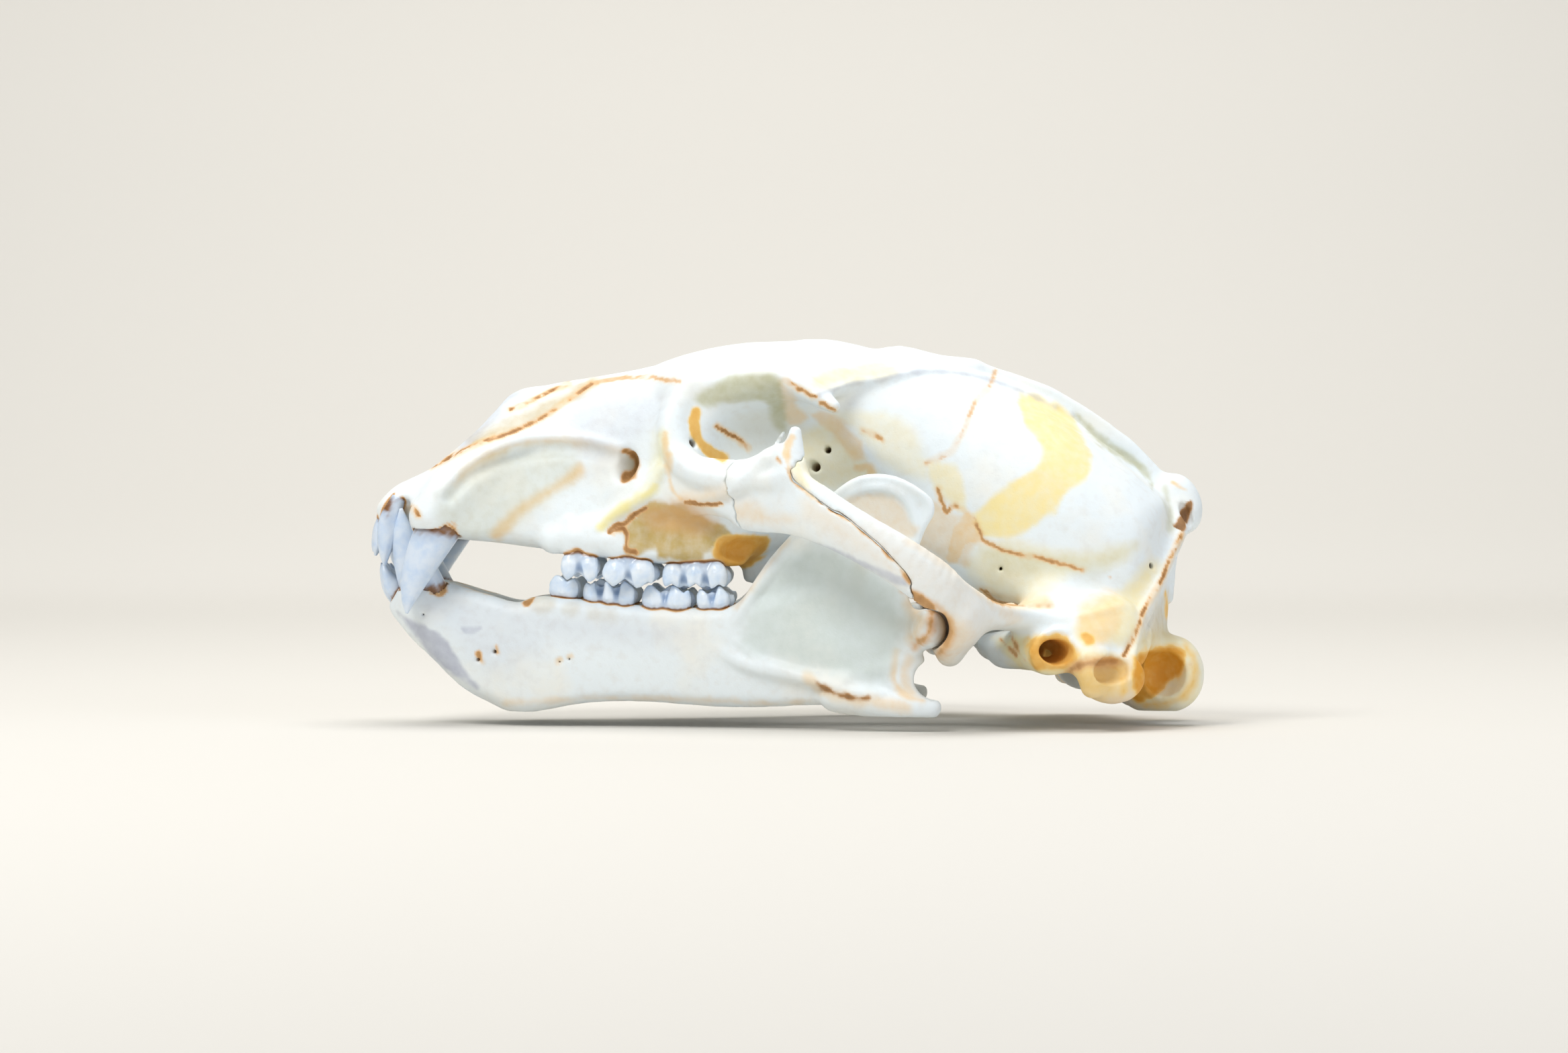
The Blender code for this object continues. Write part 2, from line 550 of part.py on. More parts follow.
def box(name, low, high):
    centre, size = np.add(low, high) / 2000, np.subtract(high, low) / 1000
    bm = bmesh.new()
    bmesh.ops.create_cube(bm, size=1, matrix=Matrix.Translation(centre) @ Matrix.Diagonal((*size, 1)))
    data = bpy.data.meshes.new(name)
    bm.to_mesh(data)
    bm.free()
    return place(name, data)


def ribbon(name, points, thick, y0, y1, lean=0.0):
    """A thin sheet whose edge follows points in XZ, from y0 to y1; lean moves it in x away from y = 0."""
    path = np.array(points, float)
    way = np.gradient(path, axis=0)
    off = np.stack([-way[:, 1], way[:, 0]], axis=1)
    off *= 0.5 * thick / np.linalg.norm(off, axis=1)[:, None]
    outline = np.vstack([path + off, (path - off)[::-1]])
    return skin(name, [[(a + lean * abs(y), y, b) for a, b in outline] for y in (y0, y1)])


def islands(obj):
    """Splits an object into one object for each closed surface, largest first."""
    bm = bmesh.new()
    bm.from_mesh(obj.data)
    bm.verts.ensure_lookup_table()
    seen, groups = set(), []
    for vert in bm.verts:
        if vert.index in seen:
            continue
        group, queue = [], [vert]
        seen.add(vert.index)
        while queue:
            v = queue.pop()
            group.append(v)
            for edge in v.link_edges:
                w = edge.other_vert(v)
                if w.index not in seen:
                    seen.add(w.index)
                    queue.append(w)
        groups.append(group)
    groups.sort(key=len, reverse=True)
    parts = []
    for group in groups:
        order = {v.index: k for k, v in enumerate(group)}
        faces = {f.index: f for v in group for f in v.link_faces}
        rows = [[order[v.index] for v in f.verts] for _, f in sorted(faces.items())]
        parts.append(mesh_object(obj.name, [v.co[:] for v in group], rows))
    bm.free()
    bpy.data.objects.remove(obj)
    return parts


def middle(obj):
    return np.mean([v.co[:] for v in obj.data.vertices], axis=0) * 1000


JUGAL_FRONT = [(31, 122), (33, 104), (36, 84), (38, 62)]
JUGAL_FRONT_LEAN = -0.83
JUGAL_BACK = [(16, 107), (6, 102), (2.6, 96), (8, 90.5), (22.4, 80.6), (35, 71.4), (42.5, 64), (49, 55.5),
              (50.5, 40)]
GROUND = (-200, -120, -20), (200, 120, 0)
SYMPHYSIS = (-200, -GAP / 2, -30), (100, GAP / 2, 130)
SIDES = ((-1, "left"), (1, "right"))


def finish(obj, name, look):
    """Names a node, gives it its own material and puts it with the finished parts."""
    obj.name = obj.data.name = name
    colour, roughness = look
    material = bpy.data.materials.new(name)
    material.use_nodes = True
    shader = material.node_tree.nodes["Principled BSDF"]
    shader.inputs["Base Color"].default_value = (*colour, 1)
    shader.inputs["Roughness"].default_value = roughness
    shader.inputs["Metallic"].default_value = 0
    obj.data.materials.clear()
    obj.data.materials.append(material)
    obj.data.shade_smooth()
    obj.data.set_sharp_from_angle(angle=SMOOTH_BELOW)
    bpy.data.collections["cutters"].objects.unlink(obj)
    bpy.data.collections["polar_bear_skull"].objects.link(obj)


def canine_cuts(own, own_radii, other, other_radii):
    """The sockets of a bone's own canines, and clearance for the tips of the other bone's."""
    sockets = [spike("socket", own, own_radii, side, GAP) for side, _ in SIDES]
    return sockets + [spike("notch", other, other_radii, side, 2 * GAP) for side, _ in SIDES]


def make_cranium():
    """The cranium with its teeth, and the two jugals that its sutures cut off."""
    cranium = bone(cranium_field(STEP), "cranium", CRANIUM_TRIANGLES)
    teeth = []
    cuts = canine_cuts(UPPER_CANINE, UPPER_CANINE_R, LOWER_CANINE[2:], LOWER_CANINE_R[2:])
    for side, _ in SIDES:
        teeth += cheek_teeth(UPPER_CHEEK, side, UPPER_GUM, -1) + incisors(UPPER_INCISORS, side)
        cuts.append(ribbon("suture", JUGAL_FRONT, GAP, side * 45, side * 92, JUGAL_FRONT_LEAN))
        cuts.append(ribbon("suture", JUGAL_BACK, GAP, side * 60, side * 120))
    combine(cranium, teeth, "UNION")
    combine(cranium, [*cuts, box("ground", *GROUND)], "DIFFERENCE")
    whole, *pieces = islands(cranium)
    finish(whole, "cranium", BONE)
    for piece in pieces:
        x, y, _ = middle(piece)
        if JUGAL_X[0] < x < JUGAL_X[1] and abs(y) > JUGAL_Y:
            finish(piece, "jugal_left" if y < 0 else "jugal_right", BONE)


def make_jaw():
    """The lower jaw with its teeth, parted in the middle plane."""
    jaw = bone(jaw_field(STEP), "jaw", JAW_TRIANGLES)
    teeth = []
    for side, _ in SIDES:
        teeth += cheek_teeth(LOWER_CHEEK, side, LOWER_GUM, 1) + incisors(LOWER_INCISORS, side)
    combine(jaw, teeth, "UNION")
    cuts = canine_cuts(LOWER_CANINE, LOWER_CANINE_R, UPPER_CANINE[3:], UPPER_CANINE_R[3:])
    combine(jaw, [*cuts, box("symphysis", *SYMPHYSIS), box("ground", *GROUND)], "DIFFERENCE")
    for half in islands(jaw):
        finish(half, "mandible_left" if middle(half)[1] < 0 else "mandible_right", BONE)


def main():
    for obj in list(bpy.data.objects):
        bpy.data.objects.remove(obj)
    for name in ("polar_bear_skull", "cutters"):
        bpy.context.scene.collection.children.link(bpy.data.collections.new(name))
    make_cranium()
    make_jaw()
    for side, name in SIDES:
        finish(spike("canine", UPPER_CANINE, UPPER_CANINE_R, side), f"canine_upper_{name}", ENAMEL)
        finish(spike("canine", LOWER_CANINE, LOWER_CANINE_R, side), f"canine_lower_{name}", ENAMEL)


main()
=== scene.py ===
# %% [markdown]
# A polar bear skull, life size
#
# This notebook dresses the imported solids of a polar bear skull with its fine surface: thin rims,
# sutures, small holes, scrolls of bone in the nose, cusps on the teeth, and the stains that old bone
# takes. All lengths in the shape cells are millimetres. The snout points along -X, the animal's left
# side faces -Y, up is +Z.

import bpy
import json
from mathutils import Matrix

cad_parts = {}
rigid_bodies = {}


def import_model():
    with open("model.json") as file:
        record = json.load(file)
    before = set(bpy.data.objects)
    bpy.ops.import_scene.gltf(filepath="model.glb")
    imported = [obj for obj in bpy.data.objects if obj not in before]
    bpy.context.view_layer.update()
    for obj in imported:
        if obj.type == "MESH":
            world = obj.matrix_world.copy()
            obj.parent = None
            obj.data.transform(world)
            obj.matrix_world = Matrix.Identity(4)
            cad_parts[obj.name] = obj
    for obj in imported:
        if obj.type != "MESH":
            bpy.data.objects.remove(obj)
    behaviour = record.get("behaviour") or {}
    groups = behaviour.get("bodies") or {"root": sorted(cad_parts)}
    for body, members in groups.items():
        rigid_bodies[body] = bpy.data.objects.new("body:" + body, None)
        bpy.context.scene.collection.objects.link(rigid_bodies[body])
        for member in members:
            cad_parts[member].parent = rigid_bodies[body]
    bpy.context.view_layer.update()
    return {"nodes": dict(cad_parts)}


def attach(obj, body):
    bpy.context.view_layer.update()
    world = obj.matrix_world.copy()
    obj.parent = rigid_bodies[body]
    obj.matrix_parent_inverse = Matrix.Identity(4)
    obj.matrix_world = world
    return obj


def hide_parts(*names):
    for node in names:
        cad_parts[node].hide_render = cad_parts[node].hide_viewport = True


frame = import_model()

import itertools
import json
import math

import bpy
import mathutils.kdtree
import numpy as np
import openvdb
from mathutils import Vector

print("nodes:", sorted(frame["nodes"]))

# %% [markdown]
# The camera and the side view
#
# The skull is seen square from its left, from about 1.6 m. Places that are known from the picture are
# written as points of the side view, in pixels of a frame 2335 wide, and one function turns them into
# millimetres. A point away from the middle plane is nearer to the camera and so looks larger, which
# `side_view` undoes, so that a mark drawn in the side view lands on the same place of a curved bone.

# %% Camera
MM = 0.001
DISTANCE = 1600.0  # from the camera to the middle plane
LEVEL = 76.0  # height of the camera
PIXEL = 0.28  # size of a pixel on the middle plane
PICTURE_ORIGIN = (1166, 1056)  # pixel of the frame's origin
PICTURE_WIDTH = 2335
SENSOR = 36.0  # width of the camera's sensor


def picture(pixels):
    """Pixels of the side view, written as "across,down" pairs, as (x, z) on the middle plane."""
    p = np.array([pair.split(",") for pair in pixels.split()], float)
    return np.stack([(p[:, 0] - PICTURE_ORIGIN[0]) * PIXEL, (PICTURE_ORIGIN[1] - p[:, 1]) * PIXEL], axis=1)


def side_view(p):
    """Where points of the skull show in the side view, on either side alike."""
    near = 1 - np.abs(p[:, 1]) / DISTANCE
    return np.stack([p[:, 0] / near, LEVEL + (p[:, 2] - LEVEL) / near], axis=1)


camera = bpy.data.objects.new("camera", bpy.data.cameras.new("camera"))
bpy.context.scene.collection.objects.link(camera)
bpy.context.scene.camera = camera
camera.location = (0, -DISTANCE * MM, LEVEL * MM)
camera.rotation_euler = (math.radians(90), 0, 0)
camera.data.sensor_width = SENSOR
camera.data.lens = SENSOR * DISTANCE / (PICTURE_WIDTH * PIXEL)
print(f"lens: {camera.data.lens:.1f} mm")

# %% [markdown]
# Bone as a field of distances
#
# A skull has no flat faces and no turned ones, so it is hard to push from a box. Here it is grown from
# soft forms instead: each form gives its distance at every point of a lattice, a rounded minimum joins
# two of them, and the surface where the distance is zero becomes the mesh. A hole is a form taken away.
# The forms are the same as in the solids, on a finer lattice.

# %% Curves and soft joins
STEP = 0.8  # spacing of the lattice in the bones
TOOTH_STEP = 0.4  # and in the teeth
NEAR = 10.0  # how far from a form its distance is worked out
FAR = 60.0


def smooth_path(points, steps=6, closed=False):
    """Catmull-Rom curve through points (rows), with `steps` pieces between neighbours."""
    pts = np.asarray(points, float)
    if closed:
        pts = np.vstack([pts[-1], pts, pts[0], pts[1]])
    else:
        pts = np.vstack([2 * pts[0] - pts[1], pts, 2 * pts[-1] - pts[-2]])
    t = np.linspace(0, 1, steps, endpoint=False)[:, None]
    rows = []
    for a, b, c, d in zip(pts[:-3], pts[1:-2], pts[2:-1], pts[3:]):
        bend = (2 * a - 5 * b + 4 * c - d) * t**2 + (3 * b - a - 3 * c + d) * t**3
        rows.append(0.5 * (2 * b + (c - a) * t + bend))
    if not closed:
        rows.append(pts[-2][None])
    return np.vstack(rows)


def profile(points, at):
    """Smooth value at `at` of the curve through (position, value) points, held flat past its ends."""
    curve = smooth_path(points, 8)
    return np.interp(at, curve[:, 0], curve[:, 1])


def smooth_min(a, b, k):
    if k <= 0:
        return np.minimum(a, b)
    h = np.maximum(k - np.abs(a - b), 0) / k
    return np.minimum(a, b) - h * h * k * 0.25


def ramp(value, low, high):
    """0 below low, 1 above high, smooth between."""
    t = np.clip((value - low) / (high - low), 0, 1)
    return t * t * (3 - 2 * t)


# %% Forms
def turn(yaw=0, pitch=0, roll=0):
    """Rotation matrix: roll about X, then pitch about Y, then yaw about Z, in degrees."""
    y, p, r = (math.radians(v) for v in (yaw, pitch, roll))
    rz = np.array([[math.cos(y), -math.sin(y), 0], [math.sin(y), math.cos(y), 0], [0, 0, 1]])
    ry = np.array([[math.cos(p), 0, math.sin(p)], [0, 1, 0], [-math.sin(p), 0, math.cos(p)]])
    rx = np.array([[1, 0, 0], [0, math.cos(r), -math.sin(r)], [0, math.sin(r), math.cos(r)]])
    return rz @ ry @ rx


def oval_distance(u, v, w, ru, rv, rw):
    k0 = np.sqrt((u / ru) ** 2 + (v / rv) ** 2 + (w / rw) ** 2)
    k1 = np.sqrt((u / ru**2) ** 2 + (v / rv**2) ** 2 + (w / rw**2) ** 2)
    return k0 * (k0 - 1) / np.maximum(k1, 1e-6)


def ball(centre, radii, **angles):
    centre = np.array(centre, float)
    r = np.array(radii, float)
    m = turn(**angles)
    reach = np.sqrt(((m * r) ** 2).sum(1))

    def distance(x, y, z):
        x, y, z = x - centre[0], y - centre[1], z - centre[2]
        u, v, w = (m[0, i] * x + m[1, i] * y + m[2, i] * z for i in range(3))
        return oval_distance(u, v, w, *r)

    return distance, centre - reach, centre + reach


def window(axes, low, high):
    return tuple(slice(*np.searchsorted(a, (lo, hi))) for a, lo, hi in zip(axes, low, high))


def strand(points, radii, up=(0, 0, 1), steps=4):
    """A tapering bar through points. Each radius is one number or (across, along up)."""
    path = smooth_path(points, steps)
    spread = smooth_path([r if np.ndim(r) else (r, r) for r in radii], steps)
    up = np.array(up, float)
    biggest = spread.max()

    def distance(x, y, z):
        best = np.full((x.size, y.size, z.size), FAR, np.float32)
        axes = [c.ravel() for c in (x, y, z)]
        for a, b, ra, rb in zip(path[:-1], path[1:], spread[:-1], spread[1:]):
            part = window(axes, np.minimum(a, b) - biggest - NEAR, np.maximum(a, b) + biggest + NEAR)
            px, py, pz = x[part[0]] - a[0], y[:, part[1]] - a[1], z[:, :, part[2]] - a[2]
            length = np.linalg.norm(b - a)
            t = (b - a) / length
            side = np.cross(up, t)
            side /= max(np.linalg.norm(side), 1e-6)
            top = np.cross(t, side)
            along = px * t[0] + py * t[1] + pz * t[2]
            share = np.clip(along / length, 0, 1)
            across = px * side[0] + py * side[1] + pz * side[2]
            high = px * top[0] + py * top[1] + pz * top[2]
            r0 = ra[0] + (rb[0] - ra[0]) * share
            r1 = ra[1] + (rb[1] - ra[1]) * share
            d = oval_distance(across, high, along - share * length, r0, r1, np.minimum(r0, r1))
            best[part] = np.minimum(best[part], d)
        return best

    return distance, path.min(0) - biggest, path.max(0) + biggest


def loft(stations):
    """A body along X. A station is (x, top, widest level, bottom, half width, squareness over, under)."""
    s = np.array(stations, float)

    def distance(x, y, z):
        t, m, b, w, over, under = (profile(s[:, [0, i]], x.ravel())[:, None, None] for i in range(1, 7))
        n = np.where(z > m, over, under)
        high = np.where(z > m, t - m, m - b)
        a = (np.abs(y) / w) ** n
        c = (np.abs(z - m) / high) ** n
        f = np.maximum(a + c, 1e-9)
        value = f ** (1 / n)
        across, along = a / np.maximum(np.abs(y), 0.5), c / np.maximum(np.abs(z - m), 0.5)
        slope = value / f * np.hypot(across, along)
        d = (value - 1) / np.maximum(slope, 1 / (w + high))
        return np.maximum(d, np.maximum(s[0, 0] - x, x - s[-1, 0]))

    return distance, np.array([s[0, 0], 0, s[:, 3].min()]), np.array([s[-1, 0], s[:, 4].max(),
                                                                      s[:, 1].max()])


def outline_distance(outline, px, pz):
    """Distance to a closed outline in the XZ plane, negative inside."""
    best = np.full(px.shape, 1e9)
    inside = np.zeros(px.shape, bool)
    for (ax, az), (bx, bz) in zip(outline, np.roll(outline, -1, 0)):
        ex, ez = bx - ax, bz - az
        wx, wz = px - ax, pz - az
        share = np.clip((wx * ex + wz * ez) / max(ex * ex + ez * ez, 1e-9), 0, 1)
        best = np.minimum(best, (wx - ex * share) ** 2 + (wz - ez * share) ** 2)
        inside ^= ((az <= pz) != (bz <= pz)) & (px < ax + (pz - az) * ex / (ez or 1e-9))
    return np.sqrt(best) * np.where(inside, -1, 1)


def plate(outline, middle, half, rounding=2.0):
    """A plate with its outline in XZ. middle(x, z) is its y and half(x, z, depth) its half thickness."""
    outline = smooth_path(outline, 4, closed=True)

    def distance(x, y, z):
        flat = outline_distance(outline, *np.meshgrid(x.ravel(), z.ravel(), indexing="ij"))[:, None, :]
        centre = middle(x, z)
        h = half(x, z, np.maximum(-flat, 0))
        lean = np.gradient(np.broadcast_to(centre, flat.shape), x.ravel()[1] - x.ravel()[0], axis=0)
        wall = (np.abs(y - centre) - h) / np.sqrt(1 + lean**2)
        r = np.minimum(rounding, h * 0.95)
        a, b = flat + r, wall + r
        return np.minimum(np.maximum(a, b), 0) + np.hypot(np.maximum(a, 0), np.maximum(b, 0)) - r

    low = np.array([outline[:, 0].min(), 0, outline[:, 1].min()])
    high = np.array([outline[:, 0].max(), 110, outline[:, 1].max()])
    return distance, low, high


# %% [markdown]
# From field to mesh
#
# Only one half of the skull is worked out, and the other is its mirror image. The lattice also tells how
# deep each point lies in the form around it: blur the solid, and the blurred value at the surface is high
# in a hollow and low on a ridge. That number, kept on the mesh as `recess`, later tells painted shade
# where to darken the hollows and handling where to polish.

# %% Field
class Field:
    """Distances to a surface, negative inside, on a lattice over one half of the skull."""

    def __init__(self, low, high, step):
        self.step = step
        self.axes = [
            (lo + step * np.arange(int((hi - lo) / step) + 2)).astype(np.float32) for lo,
            hi in zip(low, high)
        ]
        self.d = np.full([len(a) for a in self.axes], FAR, np.float32)

    def merge(self, shape, blend, sign):
        distance, low, high = shape
        part = window(self.axes, low - blend - 4, high + blend + 4)
        at = np.ix_(*(a[c] for a, c in zip(self.axes, part)))
        self.d[part] = sign * smooth_min(sign * self.d[part], distance(*at), blend)

    def add(self, shape, blend=2.0):
        self.merge(shape, blend, 1)

    def cut(self, shape, blend=2.0):
        self.merge(shape, blend, -1)

    def copy(self):
        other = Field((0, 0, 0), (1, 1, 1), 1)
        other.step, other.axes, other.d = self.step, self.axes, self.d.copy()
        return other

    def whole(self):
        """The lowest corner and the distances of both halves."""
        d = np.concatenate([self.d[:, :0:-1], self.d], axis=1)
        return np.array([self.axes[0][0], -self.axes[1][-1], self.axes[2][0]]), d

    def surface(self, both):
        """Points and quads of the surface."""
        low, d = self.whole() if both else (np.array([a[0] for a in self.axes]), self.d)
        reach = 3 * self.step
        grid = openvdb.FloatGrid(reach)
        grid.copyFromArray(np.ascontiguousarray(np.clip(d, -reach, reach)))
        points, quads = grid.convertToQuads(0.0)[:2]
        return points * self.step + low, quads


def blurred(solid, cells):
    """The mean over a cube of that many cells each way, three times."""
    for axis in (0, 1, 2) * 3:
        total = np.cumsum(solid, axis=axis, dtype=np.float32)
        total = np.concatenate([np.zeros_like(np.take(total, [0], axis)), total], axis=axis)
        n = solid.shape[axis]
        high = np.minimum(np.arange(n) + cells + 1, n)
        low = np.maximum(np.arange(n) - cells, 0)
        solid = (np.take(total, high, axis) - np.take(total, low, axis)) / (2 * cells + 1)
    return solid


def sample(values, p):
    """Values of a lattice at points given in cells."""
    p = np.clip(p, 0, np.array(values.shape) - 1.001)
    cell = p.astype(int)
    f = p - cell
    total = np.zeros(len(p))
    for corner in itertools.product((0, 1), repeat=3):
        weight = np.prod(np.where(corner, f, 1 - f), axis=1)
        total += weight * values[tuple((cell + corner).T)]
    return total


def recess(field, points, both, size):
    """How deep each point lies: over 0.5 in a hollow about `size` across, less on a ridge."""
    coarse = max(1, round(size / 3 / field.step))
    low, d = field.whole() if both else (np.array([a[0] for a in field.axes]), field.d)
    d = d[::coarse, ::coarse, ::coarse]
    cell = coarse * field.step
    solid = np.clip(0.5 - d / cell, 0, 1).astype(np.float32)
    return sample(blurred(solid, max(1, round(0.5 * size / cell))), (points - low) / cell)


def noise(p, size, seed):
    """Smooth random numbers from -1 to 1 that change over about `size`."""
    values = np.random.default_rng(seed).uniform(-1, 1, (32, 32, 32))
    p = p / size
    cell = np.floor(p).astype(int)
    f = p - cell
    f = f * f * (3 - 2 * f)
    total = np.zeros(len(p))
    for corner in itertools.product((0, 1), repeat=3):
        weight = np.prod(np.where(corner, f, 1 - f), axis=1)
        total += weight * values[tuple(((cell + corner) % 32).T)]
    return total


# %% Mesh
def mesh_object(name, points, faces, masks=None):
    """A smooth-shaded object from points in millimetres and faces that all have as many corners."""
    mesh = bpy.data.meshes.new(name)
    faces = np.asarray(faces)
    mesh.vertices.add(len(points))
    mesh.vertices.foreach_set("co", (np.asarray(points) * MM).astype(np.float32).ravel())
    mesh.loops.add(faces.size)
    mesh.loops.foreach_set("vertex_index", faces.astype(np.int32).ravel())
    mesh.polygons.add(len(faces))
    mesh.polygons.foreach_set("loop_start", np.arange(0, faces.size, faces.shape[1], dtype=np.int32))
    mesh.update(calc_edges=True)
    mesh.validate()
    for label, values in (masks or {}).items():
        layer = mesh.attributes.new(label, "FLOAT", "POINT")
        layer.data.foreach_set("value", np.asarray(values, np.float32))
    obj = bpy.data.objects.new(name, mesh)
    bpy.context.scene.collection.objects.link(obj)
    mesh.shade_smooth()
    return obj


def normals(points, faces):
    """Outward unit normal at each point."""
    a, b, c, d = (points[faces[:, i]] for i in range(4))
    face = np.cross(c - a, d - b)
    total = np.zeros_like(points)
    for i in range(4):
        np.add.at(total, faces[:, i], face)
    return total / np.maximum(np.linalg.norm(total, axis=1), 1e-9)[:, None]


def relaxed(points, faces, times):
    """Points moved towards the middle of their neighbours, which irons out the steps of the lattice."""
    ring = np.concatenate([faces[:, [i, (i + 1) % 4]] for i in range(4)])
    count = np.bincount(ring[:, 0], minlength=len(points)) + np.bincount(ring[:, 1], minlength=len(points))
    for _ in range(times):
        total = np.zeros_like(points)
        for i in range(3):
            total[:, i] = np.bincount(ring[:, 0], points[ring[:, 1], i], len(points))
            total[:, i] += np.bincount(ring[:, 1], points[ring[:, 0], i], len(points))
        points = 0.5 * points + 0.5 * total / count[:, None]
    return points


# %% Ridges and grooves laid on the bone
ANY = (0, 120)  # distances from the middle plane that take in the whole half
FIRST_GUESS = 40.0  # distance of the outer face from the middle plane, corrected in a few rounds
ROUNDS = 4


def laid(field, pixels, reach, sink):
    """Points of the side view moved out to the bone's outer face, and `sink` millimetres into it."""
    points = []
    for u, v in smooth_path(picture(pixels), 3):
        y = FIRST_GUESS
        for _ in range(ROUNDS):
            near = 1 - y / DISTANCE
            x, z = u * near, LEVEL + (v - LEVEL) * near
            i = np.searchsorted(field.axes[0], x)
            k = np.searchsorted(field.axes[2], z)
            inside = (field.d[i, :, k] < 0) & (field.axes[1] >= reach[0]) & (field.axes[1] <= reach[1])
            y = float(field.axes[1][inside].max()) if inside.any() else y
        points.append((x, y - sink, z))
    path = np.array(points)
    path[1:-1, 1] = (path[:-2, 1] + path[1:-1, 1] + path[2:, 1]) / 3
    return path


def faded(path, radius):
    """A bar along the path that gets thin towards both ends."""
    radii = radius * (0.35 + 0.65 * np.sin(np.pi * np.linspace(0.08, 0.92, len(path))))
    return strand(path, list(radii), up=(0, 1, 0), steps=1)


def ridge(field, pixels, radius, blend, reach, sink):
    field.add(faded(laid(field, pixels, reach, sink), radius), blend)


def groove(field, pixels, radius, blend, reach, sink):
    field.cut(faded(laid(field, pixels, reach, sink), radius), blend)


# %% [markdown]
# The cranium
#
# The real cranium is some thirty bones grown together. Two lofts give the long box of the face and the
# rounded case of the brain, a plate gives the crest along the top, and strands give the ridges, the rims
# and the cheek arch. Hollows are cut before the arch goes on, or they would cut that too.

# %% Named sizes of the cranium
# Stations of the face and of the braincase: x, top, widest level, bottom, half width, squareness above
# the widest level and squareness below it.
FACE = [
    (-168.5, 86, 82, 77, 13, 2.4, 3),
    (-164, 91, 80, 75, 22, 2.4, 3),
    (-156, 97, 79, 73, 25, 2.3, 3.5),
    (-148, 102, 78, 71.5, 30, 2.2, 4),
    (-140, 108, 78, 71, 36, 2.2, 4),
    (-128, 119, 78, 70.2, 38, 2.2, 4),
    (-112, 132, 78, 68.4, 35, 2.3, 4),
    (-98, 135, 78, 66.2, 34, 2.3, 4),
    (-75, 139, 80, 63, 38, 2.4, 4),
    (-60, 141.5, 84, 62, 43, 2.5, 4),
    (-40, 146, 86, 60.5, 46, 2.8, 4),
    (-22, 150.5, 88, 60, 45, 3, 4),
    (-8, 152, 94, 62, 40, 3, 3),
    (10, 152, 104, 68, 33, 2.6, 2.5),
    (30, 146, 110, 74, 24, 2.2, 2.2),
    (46, 134, 112, 84, 12, 2.2, 2.2),
]
BRAINCASE = [
    (-8, 130, 108, 74, 18, 2.2, 2.4),
    (10, 148, 112, 62, 30, 2.3, 2.4),
    (33, 149.5, 106, 53, 33, 2.2, 2.6),
    (60, 144, 92, 44, 38, 2.1, 2.6),
    (80, 138, 80, 37, 45, 2.1, 2.6),
    (100, 129, 72, 30, 50, 2.1, 2.6),
    (120, 118, 66, 24, 51, 2.1, 2.6),
    (140, 104, 60, 18, 48, 2.1, 2.6),
    (156, 90, 54, 14, 40, 2.1, 2.6),
    (168, 78, 50, 12, 30, 2.1, 2.6),
]
CREST = [
    (40, 120), (44, 148.6), (66, 146.5), (85, 142.8), (100, 138.4), (115, 132.2), (131, 122.4),
    (147.6, 109.6),
    (159, 97.5), (170, 88), (168, 76), (150, 70), (100, 90),
]
OCCIPUT_X = 160.0
OCCIPUT_CURVE = 0.0074

# Canines: the path of each axis from root to tip, with (across, along) radii.
UPPER_CANINE = [(-119, 26, 101), (-129, 29.5, 91), (-140.8, 32.5, 75.6), (-149.6, 33.5, 58),
                (-153, 34.2, 47),
                (-153.9, 34.6, 40.5)]
UPPER_CANINE_R = [(3.5, 4.5), (5.8, 7.4), (7, 8.9), (5.5, 6.5), (2.9, 3.3), (0.5, 0.6)]
LOWER_CANINE = [(-128.5, 16, 23.5), (-139.6, 17.5, 35.9), (-147.8, 19, 49.2), (-153, 19.8, 62),
                (-156.2, 21.8, 73),
                (-157.3, 23.5, 83.4)]
LOWER_CANINE_R = [(4.5, 5.5), (6.5, 8.5), (7.2, 9.2), (6.2, 7.9), (3.9, 4.7), (0.5, 0.6)]
SOCKET = 0.35  # clearance round the root of a canine


